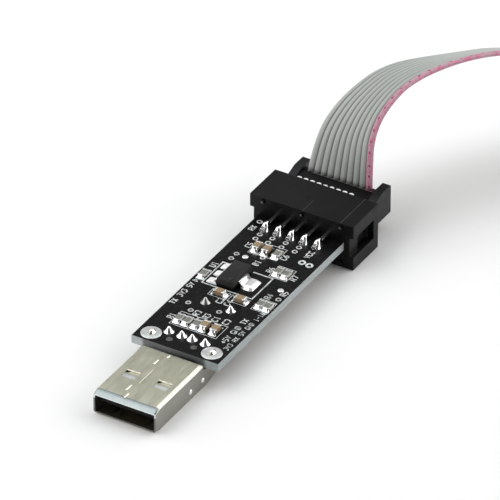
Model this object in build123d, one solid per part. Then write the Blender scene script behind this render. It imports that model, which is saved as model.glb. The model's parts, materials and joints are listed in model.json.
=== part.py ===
"""USB microcontroller programmer: a bare circuit board with a USB-A plug at one end and a
shrouded ten-pin header at the other, and the flat ribbon lead that plugs into the header.

Millimetres. +X runs along the board from the plug to the header, +Z is up. The origin is under
the middle of the programmer with its lead's near socket pushed home, on the surface it lies on.
"""
import os
from math import radians, tan

from build123d import *

os.makedirs("parts", exist_ok=True)

# ---- driving dimensions ----
BOARD_LENGTH = 41.5
BOARD_WIDTH = 16.7
BOARD_THICKNESS = 1.6
BOARD_TOP = 5.25
BOARD_BOTTOM = BOARD_TOP - BOARD_THICKNESS

PLUG_REACH = 16.0
PLUG_WIDTH = 12.0
PLUG_HEIGHT = 4.5
SHEET = 0.3
TAIL_END = 4.5

PITCH = 2.54
PIN_SIDE = 0.64
HEADER_WIDTH = 20.3
HEADER_HEIGHT = 8.9
HEADER_DEPTH = 8.5
HEADER_FLOOR = 2.4
CAVITY_WIDTH = 17.95
CAVITY_HEIGHT = 6.8

SOCKET_WIDTH = 17.3
SOCKET_HEIGHT = 6.1
SOCKET_BODY = 5.9
SOCKET_GAP = 0.3
CAP_DEPTH = 3.1
RELIEF_BAR = 1.1
RELIEF_HEIGHT = 4.8
EAR_THICKNESS = 1.6
EAR_REACH = 0.8
EAR_LOW = -1.85
EAR_HIGH = 3.7
EAR_SLOPE = 2.3
EAR_DROP = 0.75

RIBBON_WIDTH = 12.7
RIBBON_THICKNESS = 0.9

# ---- places worked out from them ----
SOCKET_DEPTH = SOCKET_BODY + RIBBON_THICKNESS + CAP_DEPTH + RIBBON_THICKNESS + RELIEF_BAR
HEADER_ALONG = BOARD_LENGTH + 0.1
SOCKET_ALONG = HEADER_ALONG + HEADER_FLOOR + SOCKET_GAP
OBJECT_LENGTH = PLUG_REACH + SOCKET_ALONG + SOCKET_DEPTH + EAR_REACH
BOARD_START = PLUG_REACH - OBJECT_LENGTH / 2
HEADER_REAR = BOARD_START + HEADER_ALONG
HEADER_MOUTH = HEADER_REAR + HEADER_DEPTH
CAVITY_FLOOR = HEADER_REAR + HEADER_FLOOR
SOCKET_FACE = BOARD_START + SOCKET_ALONG
HEADER_MID = HEADER_HEIGHT / 2
PIN_ROWS = (HEADER_MID + PITCH / 2, HEADER_MID - PITCH / 2)
PIN_COLUMNS = [PITCH * step for step in range(-2, 3)]
USB_CONTACTS = (-3.5, -1.0, 1.0, 3.5)
EXIT_DEPTH = SOCKET_DEPTH - RELIEF_BAR - RIBBON_THICKNESS / 2

# The ribbon's route from the near socket to the far one, and the way its pin-one edge faces at
# each point: it leaves upwards, arches over, turns on edge and lies round beside the board.
RIBBON_ROUTE = [
    (SOCKET_FACE + EXIT_DEPTH, 0, 7.5),
    (35, 0, 11.5),
    (37, 0, 16),
    (41, -1, 20),
    (47.6, -3.5, 23),
    (57.1, -9.5, 23),
    (66.6, -16.5, 21.5),
    (77.6, -26.5, 17.5),
    (85.1, -39.5, 12.5),
    (88.1, -54, 9),
    (86.6, -69, 7),
    (80.6, -83, 6.5),
    (70.6, -94, 6.5),
    (57.6, -101, 6.5),
    (42.6, -104.5, 6.5),
    (27.6, -105.5, 7),
    (15.6, -105.5, 8.65),
    (6.6, -105.5, 8.65),
]
RIBBON_EDGE = [
    (0, -1, 0),
    (-0.15, -1, 0),
    (-0.3, -0.9, 0.15),
    (-0.45, -0.85, 0.25),
    (-0.55, -0.8, 0.35),
    (-0.35, -0.8, 0.5),
    (-0.55, -0.65, 0.45),
    (-0.25, -0.6, 0.75),
    (-0.2, -0.5, 0.85),
    (0, -0.2, 1),
] + [(0, 0, 1)] * 8
RIBBON_STATIONS = 60


# ---- helpers ----
def block(x, y, z):
    """A box between the two values given on each axis."""
    size = [b - a for a, b in (x, y, z)]
    middle = [(a + b) / 2 for a, b in (x, y, z)]
    return Pos(*middle) * Box(*size)


def post(x, y, z, radius):
    """An upright round post between two heights."""
    return Pos(x, y, (z[0] + z[1]) / 2) * Cylinder(radius, z[1] - z[0])


def mound(x, y, z, size, up=1):
    """Half an ellipsoid of solder on a board face, size being its half length, half width and height."""
    dome = scale(Sphere(1), by=size)
    face = block((-9, 9), (-9, 9), (0, 9)) if up > 0 else block((-9, 9), (-9, 9), (-9, 0))
    return Pos(x, y, z) * (dome & face)


def fillet_cone(x, y, z, foot, neck, height, up=1):
    """The hollow-sided cone of solder that climbs a lead, on a board face."""
    profile = make_face(
        [
            Line((0, 0), (foot, 0)),
            Spline((foot, 0), (neck + 0.25 * (foot - neck), height * 0.45), (neck, height)),
            Line((neck, height), (0, height)),
            Line((0, height), (0, 0)),
        ]
    )
    cone = revolve(Plane.XZ * profile, Axis.Z)
    return Pos(x, y, z) * (cone if up > 0 else Rot(180, 0, 0) * cone)


def write(name, *shapes):
    """Write one node: each shape's solids, side by side."""
    solids = [solid for shape in shapes for solid in shape.solids()]
    export_step(solids[0] if len(solids) == 1 else Compound(solids), f"parts/{name}.step")


# ---- the board and what is on its top ----
VIAS = [(12.9, 5.1), (11.2, 3.6), (13.15, -0.75), (27.8, 5.6), (29.4, 5.5), (21.3, -7.4), (30.6, 1.1)]
CRYSTAL_ALONG = 14.4
CRYSTAL_LEADS = (2.64, -2.24)
SHIELD_ALONG = 2.2
SHIELD_ACROSS = PLUG_WIDTH / 2 - SHEET / 2
PEG_ACROSS = 2.35
CONTACT_TAIL_ALONG = 4.0
REGULATOR = (22.6, 2.0)

# Chips on top: distance along the board, across it, and whether the chip lies along the board.
TOP_RESISTORS = [
    (8.0, 3.9, True),
    (8.0, 2.3, True),
    (8.0, 0.5, True),
    (18.4, -5.7, True),
    (18.4, -7.2, True),
    (28.2, -3.4, True),
    (28.2, -5.0, True),
    (32.5, -0.6, True),
    (21.3, 7.1, True),
]
TOP_CAPACITORS = [(8.0, -1.1, True), (8.0, -3.1, True), (32.5, 3.3, True), (32.5, 1.4, True)]
TOP_UPRIGHT_CAPACITORS = [(17.6, 1.8, False), (17.6, -2.2, False)]
UNDER_CAPACITORS = [(31.0, 5.0, False), (31.0, -5.0, False), (10.0, 6.6, True)]
CHIP_LENGTH = 2.0
CHIP_WIDTH = 1.25
CHIP_END = 0.35
CHIP_FILLET = 0.45
CHIP_LIFT = 0.05
RESISTOR_HEIGHT = 0.5
CAPACITOR_HEIGHT = 0.9
BEYOND = 1
VIA_RADIUS = 0.2
CRYSTAL_HOLE = 0.4
CRYSTAL_WIRE = 0.22
CRYSTAL_WIRE_RISE = 0.9
CRYSTAL_LIFT = 0.2
CRYSTAL_BASE = (11.05, 4.65)
CRYSTAL_CAN = (10.2, 3.8)
CRYSTAL_BASE_HEIGHT = 0.45
CRYSTAL_CAN_HEIGHT = 2.7
CONTACT_HOLE = 0.5
PEG_HOLE = 0.65
PEG_RADIUS = 0.6
SHIELD_SLOT = (2.2, 0.7)


def crystal_leads():
    x = BOARD_START + CRYSTAL_ALONG
    span = (BOARD_BOTTOM - CRYSTAL_LIFT, BOARD_TOP + CRYSTAL_WIRE_RISE)
    return [post(x, y, span, CRYSTAL_WIRE) for y in CRYSTAL_LEADS]


def circuit_board():
    board = block(
        (BOARD_START, BOARD_START + BOARD_LENGTH),
        (-BOARD_WIDTH / 2, BOARD_WIDTH / 2),
        (BOARD_BOTTOM, BOARD_TOP),
    )
    through = (BOARD_BOTTOM - BEYOND, BOARD_TOP + BEYOND)
    for along, across in VIAS:
        board -= post(BOARD_START + along, across, through, VIA_RADIUS)
    for across in CRYSTAL_LEADS:
        board -= post(BOARD_START + CRYSTAL_ALONG, across, through, CRYSTAL_HOLE)
    for across in USB_CONTACTS:
        board -= post(BOARD_START + CONTACT_TAIL_ALONG, across, through, CONTACT_HOLE)
    x = BOARD_START + SHIELD_ALONG
    long, wide = SHIELD_SLOT[0] / 2, SHIELD_SLOT[1] / 2
    for side in (-1, 1):
        board -= post(x, side * PEG_ACROSS, through, PEG_HOLE)
        y = side * SHIELD_ACROSS
        board -= block((x - long, x + long), (y - wide, y + wide), through)
    return board


def chip(place, up, height, part):
    """A 0805 chip on a board face: its body, its two metal ends or the solder at them."""
    along, across, lengthways = place
    half = CHIP_LENGTH / 2
    z = (CHIP_LIFT, CHIP_LIFT + height)
    if part == "body":
        made = [block((-half + CHIP_END, half - CHIP_END), (-CHIP_WIDTH / 2, CHIP_WIDTH / 2), z)]
    elif part == "ends":
        made = [
            block((half - CHIP_END, half), (-CHIP_WIDTH / 2, CHIP_WIDTH / 2), z),
            block((-half, -half + CHIP_END), (-CHIP_WIDTH / 2, CHIP_WIDTH / 2), z),
        ]
    else:
        slope = Polyline((0, 0), (CHIP_FILLET, 0), (0, height * 0.8), close=True)
        wedge = Plane.XZ * make_face(slope)
        wedge = Pos(half, 0, 0) * extrude(wedge, CHIP_WIDTH / 2, both=True)
        made = [wedge, Rot(0, 0, 180) * wedge]
    turn = Rot(0, 0, 0 if lengthways else 90)
    face = Pos(BOARD_START + along, across, BOARD_TOP) * turn
    if not up:
        face = Pos(BOARD_START + along, across, BOARD_BOTTOM) * Rot(180, 0, 0) * turn
    return [face * piece for piece in made]


def write_chips():
    top_caps = TOP_CAPACITORS + TOP_UPRIGHT_CAPACITORS
    resistors = [(p, True, RESISTOR_HEIGHT) for p in TOP_RESISTORS]
    capacitors = [(p, True, CAPACITOR_HEIGHT) for p in top_caps]
    under = [(p, False, CAPACITOR_HEIGHT) for p in UNDER_CAPACITORS]
    places = resistors + capacitors + under
    write("resistor_bodies", *[s for p, up, h in resistors for s in chip(p, up, h, "body")])
    write("capacitor_bodies", *[s for p, up, h in capacitors for s in chip(p, up, h, "body")])
    write("under_capacitor_bodies", *[s for p, up, h in under for s in chip(p, up, h, "body")])
    write("chip_metal_ends", *[s for p, up, h in places for s in chip(p, up, h, "ends")])
    write("chip_solder", *[s for p, up, h in places for s in chip(p, up, h, "solder")])


def gull_wing(inner, outer, width, body_z, foot_z, thickness):
    """A lead that leaves a body at one height and steps down to a foot, along +X."""
    knee = inner + 0.4 * (outer - inner)
    arm = block((inner, knee), (-width / 2, width / 2), (body_z, body_z + thickness))
    leg = block((knee - thickness, knee), (-width / 2, width / 2), (foot_z, body_z + thickness))
    foot = block((knee - thickness, outer), (-width / 2, width / 2), (foot_z, foot_z + thickness))
    return arm + leg + foot


def regulator():
    """A SOT-223 regulator: its moulded body, its three leads and its wide tab."""
    x, y = BOARD_START + REGULATOR[0], REGULATOR[1]
    long, wide, high = 6.5, 3.5, 1.6
    reach, sheet, lift = 3.5, 0.25, 0.1
    base = BOARD_TOP + lift
    steps = (-2.3, 0, 2.3)
    body = Pos(x, y, base + high / 2) * Box(long, wide, high)
    body = chamfer(body.edges().group_by(Axis.Z)[-1], 0.25)
    lead = gull_wing(wide / 2, reach, 0.7, 0.75, -lift / 2, sheet)
    leads = [Pos(x + step, y, base) * Rot(0, 0, 90) * lead for step in steps]
    tab = gull_wing(wide / 2, reach, 3.0, 0.75, -lift / 2, sheet)
    tab = Pos(x, y, base) * Rot(0, 0, -90) * tab
    pads = [mound(x + step, y + reach - 0.15, BOARD_TOP, (0.85, 0.95, 0.5)) for step in steps]
    pads.append(mound(x, y - reach - 0.2, BOARD_TOP, (2.0, 1.1, 0.45)))
    metal = leads + [tab]
    for piece in metal:
        pads = [pad - piece for pad in pads]
    write("regulator_body", body)
    write("regulator_leads", *metal)
    write("regulator_solder", *pads)


def microcontroller():
    """A 32-lead quad flat package under the board."""
    side, thick, lift = 7.0, 1.0, 0.1
    lead_pitch, per_side = 0.8, 8
    place = Pos(BOARD_START + 24.0, 0, BOARD_BOTTOM) * Rot(180, 0, 0)
    body = Pos(0, 0, lift + thick / 2) * Box(side, side, thick)
    body = chamfer(body.edges().group_by(Axis.Z)[-1], 0.2)
    lead = gull_wing(side / 2, side / 2 + 1.0, 0.37, 0.5, 0.02, 0.13)
    middle = (per_side - 1) / 2
    row = [Pos(0, lead_pitch * (step - middle), 0) * lead for step in range(per_side)]
    leads = [place * Rot(0, 0, 90 * turn) * one for turn in range(4) for one in row]
    write("microcontroller_body", place * body)
    write("microcontroller_leads", *leads)


def crystal():
    """A low-profile quartz crystal lying on the underside, its leads through the board."""
    x, y = BOARD_START + CRYSTAL_ALONG, sum(CRYSTAL_LEADS) / 2
    base = BOARD_BOTTOM - CRYSTAL_LIFT
    across = Rot(180, 0, 90)
    foot = Pos(x, y, base) * across * extrude(SlotOverall(*CRYSTAL_BASE), CRYSTAL_BASE_HEIGHT)
    can = Pos(x, y, base - CRYSTAL_BASE_HEIGHT) * across
    can = can * extrude(SlotOverall(*CRYSTAL_CAN), CRYSTAL_CAN_HEIGHT)
    can = fillet(can.edges().group_by(Axis.Z)[0], 0.5)
    leads = crystal_leads()
    solder = [fillet_cone(x, place, BOARD_TOP, 0.9, 0.3, 0.8) for place in CRYSTAL_LEADS]
    solder = [cone - lead for cone, lead in zip(solder, leads)]
    write("crystal_base", foot)
    write("crystal_can", can)
    write("crystal_leads", *leads)
    write("crystal_solder", *solder)


def status_lights():
    """Two small surface-mount lights on the underside, near the plug."""
    long, wide, layer, lift = 2.0, 1.25, 0.4, 0.02
    bodies = []
    lenses = []
    for across in (2.0, -2.0):
        place = Pos(BOARD_START + 8.6, across, BOARD_BOTTOM) * Rot(180, 0, 0)
        bodies.append(place * Pos(0, 0, lift + layer / 2) * Box(long, wide, layer))
        lenses.append(place * Pos(0, 0, lift + 1.5 * layer) * Box(0.6 * long, wide, layer))
    write("status_light_bases", *bodies)
    write("status_light_lenses", *lenses)


# ---- the USB plug ----
CORNER = 0.4
TUBE_END = -0.7
TROUGH_START = -1.2
TROUGH_SLOPE = 12
WINDOW_BEHIND_MOUTH = 6.0
WINDOW_LENGTH = 2.0
WINDOW_WIDTH = 2.5
WINDOW_ACROSS = 3.05
TAB_LENGTH = 1.8
TAB_RISE = 0.5
BEYOND_PLUG = PLUG_WIDTH / 2 + BEYOND
CONTACT_HEIGHT = 2.1
CONTACT_SHEET = 0.25
CONTACT_WIDTH = 1.0
TAIL_SIDE = 0.5


def plug_section(inset):
    """The plug's outline across the board, inset from its outside."""
    outline = Rectangle(PLUG_WIDTH - 2 * inset, PLUG_HEIGHT - 2 * inset)
    return fillet(outline.vertices(), CORNER - inset)


def plug_tube(section, x0, x1):
    """A section given in Y and Z, drawn along X between two places."""
    plane = Plane(origin=(x0, 0, PLUG_HEIGHT / 2), x_dir=(0, 1, 0), z_dir=(1, 0, 0))
    return extrude(plane * section, x1 - x0)


def usb_shell():
    """The bent sheet shell: a tube in front of the board, a trough with two tabs under it."""
    mouth = BOARD_START - PLUG_REACH
    tail = BOARD_START + TAIL_END
    shell = plug_tube(plug_section(0), mouth, tail) - plug_tube(plug_section(SHEET), mouth, tail)
    over = (BOARD_BOTTOM - 0.1, BOARD_TOP + BEYOND)
    shell -= block((BOARD_START + TUBE_END, tail), (-BEYOND_PLUG, BEYOND_PLUG), over)
    rise = (TAIL_END - TROUGH_START) * tan(radians(TROUGH_SLOPE))
    low = Plane.XZ * make_face(
        Polyline(
            (BOARD_START + TROUGH_START, -BEYOND),
            (BOARD_START + TROUGH_START, 0.05),
            (tail, rise),
            (tail + BEYOND, rise),
            (tail + BEYOND, -BEYOND),
            close=True,
        )
    )
    shell -= extrude(low, BEYOND_PLUG, both=True)
    x = BOARD_START + SHIELD_ALONG
    front = mouth + WINDOW_BEHIND_MOUTH
    for side in (-1, 1):
        y = side * WINDOW_ACROSS
        window = (y - WINDOW_WIDTH / 2, y + WINDOW_WIDTH / 2)
        shell -= block((front, front + WINDOW_LENGTH), window, (-BEYOND, PLUG_HEIGHT + BEYOND))
        wall = sorted((side * PLUG_WIDTH / 2, side * (PLUG_WIDTH / 2 - SHEET)))
        height = (BOARD_BOTTOM - 0.1, BOARD_TOP + TAB_RISE)
        shell += block((x - TAB_LENGTH / 2, x + TAB_LENGTH / 2), wall, height)
    return shell


def contact_strips():
    """Four spring contacts under the tongue, each turned up through the board at its tail."""
    strips = []
    x = BOARD_START + CONTACT_TAIL_ALONG
    half = TAIL_SIDE / 2
    bottom, top = CONTACT_HEIGHT, CONTACT_HEIGHT + CONTACT_SHEET
    for across in USB_CONTACTS:
        width = (across - CONTACT_WIDTH / 2, across + CONTACT_WIDTH / 2)
        strip = block((BOARD_START - PLUG_REACH + 1.6, x + half), width, (bottom, top))
        tail = block((x - half, x + half), (across - half, across + half), (bottom, BOARD_TOP + 0.65))
        strips.append(strip + tail)
    return strips


def usb_insulator(contacts):
    """The moulded tongue and its rear block, with two pegs that locate in the board."""
    mouth = BOARD_START - PLUG_REACH
    tongue_end, plug_end = BOARD_START - 4.5, BOARD_START - 0.8
    under_board = BOARD_BOTTOM - 0.05
    tongue = block((mouth + 0.8, tongue_end), (-5.2, 5.2), (CONTACT_HEIGHT + CONTACT_SHEET, 4.15))
    plugged = block((tongue_end, plug_end), (-5.55, 5.55), (0.45, 4.05))
    rear = block((plug_end, BOARD_START + 4.4), (-5.65, 5.65), (1.3, under_board))
    moulding = tongue + plugged + rear
    for side in (-1, 1):
        x = BOARD_START + SHIELD_ALONG
        moulding += post(x, side * PEG_ACROSS, (under_board - 0.05, BOARD_TOP - 0.1), PEG_RADIUS)
    for strip in contacts:
        moulding -= strip
    return moulding


def write_plug():
    contacts = contact_strips()
    shell = usb_shell()
    x = BOARD_START + CONTACT_TAIL_ALONG
    joints = [fillet_cone(x, y, BOARD_TOP, 0.95, 0.38, 0.6) for y in USB_CONTACTS]
    joints = [joint - strip for joint, strip in zip(joints, contacts)]
    x = BOARD_START + SHIELD_ALONG
    domes = [mound(x, side * SHIELD_ACROSS, BOARD_TOP, (1.7, 1.7, 0.75)) for side in (-1, 1)]
    domes = [dome - shell for dome in domes]
    write("usb_shell", shell)
    write("usb_insulator", usb_insulator(contacts))
    write("usb_contacts", *contacts)
    write("usb_contact_solder", *joints)
    write("usb_shield_solder", *domes)


# ---- the header ----
PIN_TAIL = 4.7
PIN_RECESS = 0.4
KEY_NOTCH = 4.6
SLOT_DEPTH = 0.75
SLOT_HEIGHT = 3.7
SLOT_STOP = 1.6
NUB_RADIUS = 0.45
NUB_LENGTH = 0.5
NUB_IN_FROM_EDGE = 0.9
NUB_COLUMNS = (-7.6, 0, 7.6)
PIN_JOINT_ALONG = 3.35
PIN_JOINT_SIZE = (1.65, 0.8, 1.0)


def header_pins():
    pins = []
    half = PIN_SIDE / 2
    for z in PIN_ROWS:
        for y in PIN_COLUMNS:
            span = (HEADER_REAR - PIN_TAIL, HEADER_MOUTH - PIN_RECESS)
            pins.append(block(span, (y - half, y + half), (z - half, z + half)))
    return pins


def header_housing(pins):
    """The shroud: a floor that holds the pins, four walls with end slots, and the key's notch below."""
    wide, high = HEADER_WIDTH / 2, HEADER_HEIGHT
    cavity = (CAVITY_FLOOR, HEADER_MOUTH + BEYOND)
    inside, rise = CAVITY_WIDTH / 2, CAVITY_HEIGHT / 2
    housing = block((HEADER_REAR, HEADER_MOUTH), (-wide, wide), (0, high))
    housing -= block(cavity, (-inside, inside), (HEADER_MID - rise, HEADER_MID + rise))
    housing -= block(cavity, (-KEY_NOTCH / 2, KEY_NOTCH / 2), (-BEYOND, HEADER_MID))
    height = (HEADER_MID - SLOT_HEIGHT / 2, HEADER_MID + SLOT_HEIGHT / 2)
    stop = HEADER_MOUTH - SLOT_STOP
    for side in (-1, 1):
        slot = sorted((side * wide, side * (wide - SLOT_DEPTH)))
        through = sorted((side * wide, side * (inside - 0.1)))
        housing -= block((HEADER_REAR - BEYOND, stop), slot, height)
        housing -= block((CAVITY_FLOOR + 0.4, stop), through, height)
    for y in NUB_COLUMNS:
        for z in (NUB_IN_FROM_EDGE, high - NUB_IN_FROM_EDGE):
            nub = Pos(HEADER_REAR - 0.05, y, z) * Rot(0, 90, 0) * Cylinder(NUB_RADIUS, NUB_LENGTH)
            housing += nub
    for pin in pins:
        housing -= pin
    return housing


def write_header():
    pins = header_pins()
    joints = []
    x = HEADER_REAR - PIN_JOINT_ALONG
    for y in PIN_COLUMNS:
        joints.append(mound(x, y, BOARD_TOP, PIN_JOINT_SIZE))
        joints.append(mound(x, y, BOARD_BOTTOM, PIN_JOINT_SIZE, up=-1))
    for pin in pins:
        joints = [joint - pin for joint in joints]
    write("header_housing", header_housing(pins))
    write("header_pins", *pins)
    write("header_solder", *joints)


# ---- the ribbon lead's sockets ----
# A socket is made with its mating face at x = 0, its cap towards +X, its width along Y, and
# its ribbon leaving towards +Z behind the cap.
CAP_FRONT = SOCKET_BODY + RIBBON_THICKNESS
CAP_REAR = CAP_FRONT + CAP_DEPTH
RELIEF_FRONT = CAP_REAR + RIBBON_THICKNESS
HALF_WIDTH = SOCKET_WIDTH / 2
HALF_HEIGHT = SOCKET_HEIGHT / 2
EAR_INSIDE = HALF_WIDTH - EAR_THICKNESS
EAR_FRONT = CAP_FRONT + 0.6
BODY_KEY = 3.8
BODY_KEY_RISE = 0.9
HOLE_HALF = 0.65
BLADE_SHEET = 0.3
BLADE_WIDTH = 0.8
CAP_CORNER = 0.8
CAP_END_HEIGHT = 5.8


def socket_body():
    body = block((0, SOCKET_BODY), (-HALF_WIDTH, HALF_WIDTH), (-HALF_HEIGHT, HALF_HEIGHT))
    key = (-HALF_HEIGHT - BODY_KEY_RISE, -HALF_HEIGHT + 0.1)
    body += block((0, SOCKET_BODY - 0.6), (-BODY_KEY / 2, BODY_KEY / 2), key)
    through = (-BEYOND, SOCKET_BODY + BEYOND)
    for y in PIN_COLUMNS:
        for z in (PITCH / 2, -PITCH / 2):
            height = (z - HOLE_HALF, z + HOLE_HALF + BLADE_SHEET)
            body -= block(through, (y - HOLE_HALF, y + HOLE_HALF), height)
    return body


def socket_contacts():
    """A blade along the upper wall of each hole, clear of the pin that it grips in use."""
    blades = []
    half = BLADE_WIDTH / 2
    for y in PIN_COLUMNS:
        for z in (PITCH / 2, -PITCH / 2):
            height = (z + HOLE_HALF, z + HOLE_HALF + BLADE_SHEET)
            blades.append(block((0.8, SOCKET_BODY), (y - half, y + half), height))
    return blades


def socket_cap():
    cap = block((CAP_FRONT, CAP_REAR), (-EAR_INSIDE, EAR_INSIDE), (-HALF_HEIGHT, HALF_HEIGHT))
    cap = fillet(cap.edges().filter_by(Axis.Y).group_by(Axis.Z)[0], CAP_CORNER)
    height = (-CAP_END_HEIGHT / 2, CAP_END_HEIGHT / 2)
    for side in (-1, 1):
        cap += block((CAP_FRONT, EAR_FRONT), sorted((side * EAR_INSIDE, side * HALF_WIDTH)), height)
    return cap


def strain_relief():
    """A bar behind the ribbon's fold, with an ear at each end that clips round the cap."""
    height = (EAR_LOW, RELIEF_HEIGHT / 2)
    relief = block((RELIEF_FRONT, SOCKET_DEPTH), (-HALF_WIDTH, HALF_WIDTH), height)
    for side in (-1, 1):
        span = sorted((side * EAR_INSIDE, side * HALF_WIDTH))
        ear = block((EAR_FRONT, SOCKET_DEPTH + EAR_REACH), span, (EAR_LOW, EAR_HIGH))
        ear = chamfer(ear.edges().filter_by(Axis.Y).group_by(Axis.X)[-1], 0.2)
        crest = (EAR_FRONT + EAR_SLOPE, EAR_HIGH)
        over = Polyline((EAR_FRONT, EAR_HIGH - EAR_DROP), crest, (EAR_FRONT, EAR_HIGH + BEYOND), close=True)
        ear -= extrude(Plane.XZ * make_face(over), HALF_WIDTH + BEYOND, both=True)
        relief += ear
    return relief


def ribbon_fold():
    """The clamped end of the ribbon: down through the socket, round the cap and up behind it."""
    low = -HALF_HEIGHT - RIBBON_THICKNESS
    half = RIBBON_WIDTH / 2
    outer = block((SOCKET_BODY, RELIEF_FRONT), (-half, half), (low, HALF_HEIGHT))
    outer = fillet(outer.edges().filter_by(Axis.Y).group_by(Axis.Z)[0], CAP_CORNER + RIBBON_THICKNESS)
    wider = half + BEYOND
    inner = block((CAP_FRONT, CAP_REAR), (-wider, wider), (-HALF_HEIGHT, HALF_HEIGHT + BEYOND))
    inner = fillet(inner.edges().filter_by(Axis.Y).group_by(Axis.Z)[0], CAP_CORNER)
    cut_end = block((SOCKET_BODY, CAP_FRONT), (-half, half), (0, HALF_HEIGHT + RIBBON_THICKNESS))
    return outer - inner + cut_end


def write_socket(prefix, place):
    write(f"{prefix}_socket_body", place * socket_body())
    write(f"{prefix}_socket_contacts", *[place * blade for blade in socket_contacts()])
    write(f"{prefix}_socket_cap", place * socket_cap())
    write(f"{prefix}_strain_relief", place * strain_relief())
    write(f"{prefix}_ribbon_fold", place * ribbon_fold())


# ---- the ribbon ----
def corner_radii(route):
    """For each corner, the largest arc that its two runs allow."""
    points = [Vector(*point) for point in route]
    radii = []
    for before, corner, after in zip(points, points[1:], points[2:]):
        turn = (corner - before).get_angle(after - corner)
        shorter = min((corner - before).length, (after - corner).length)
        radii.append(0.45 * shorter / tan(radians(turn / 2)))
    return radii


def edge_direction(share):
    """Which way the pin-one edge faces, at a share of the route's length."""
    points = [Vector(*point) for point in RIBBON_ROUTE]
    lengths = [0.0]
    for a, b in zip(points, points[1:]):
        lengths.append(lengths[-1] + (b - a).length)
    at = share * lengths[-1]
    step = max(i for i in range(len(points) - 1) if lengths[i] <= at or i == 0)
    part = (at - lengths[step]) / (lengths[step + 1] - lengths[step])
    return Vector(*RIBBON_EDGE[step]) * (1 - part) + Vector(*RIBBON_EDGE[step + 1]) * part


def ribbon():
    """The flat cable: straight-sided spans between rectangles set square across the route."""
    radii = corner_radii(RIBBON_ROUTE)
    print("ribbon radii, mm:", [round(radius, 1) for radius in radii])
    path = FilletPolyline(*RIBBON_ROUTE, radius=radii)
    sections = []
    for station in range(RIBBON_STATIONS + 1):
        share = station / RIBBON_STATIONS
        tangent = path % share
        if station == 0:
            tangent = Vector(0, 0, 1)
        edge = edge_direction(share)
        edge = edge - tangent * edge.dot(tangent)
        plane = Plane(origin=path @ share, x_dir=edge, z_dir=tangent)
        sections.append(plane * Rectangle(RIBBON_WIDTH, RIBBON_THICKNESS))
    strip = loft([section.face() for section in sections], ruled=True)
    by_length = RIBBON_WIDTH * RIBBON_THICKNESS * path.length
    print(f"ribbon length {path.length:.1f} mm, volume {strip.volume:.0f}, section x length {by_length:.0f}")
    return strip


def far_socket_place():
    """Where the far socket lies, so that the ribbon's end meets its own way in."""
    end = Vector(*RIBBON_ROUTE[-1])
    arriving = (end - Vector(*RIBBON_ROUTE[-2])).normalized()
    leaving = arriving * -1
    across = Vector(0, 0, -1)
    inward = across.cross(leaving)
    origin = end - inward * EXIT_DEPTH - leaving * HALF_HEIGHT
    return Plane(origin=origin, x_dir=inward, z_dir=leaving).location


write("circuit_board", circuit_board())
write_chips()
regulator()
microcontroller()
crystal()
status_lights()
write_plug()
write_header()
write_socket("near", Pos(SOCKET_FACE, 0, HEADER_MID))
write_socket("far", far_socket_place())
write("ribbon_cable", ribbon())
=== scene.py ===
"""Looks of a USB microcontroller programmer and its ribbon lead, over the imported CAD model.

Shapes are worked out in millimetres in the CAD's own frame, and written to meshes in metres.
+X runs along the board from the plug to the header, +Y is the left side, +Z is up.
"""

import json
from math import cos, pi, radians, sin, sqrt

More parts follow.
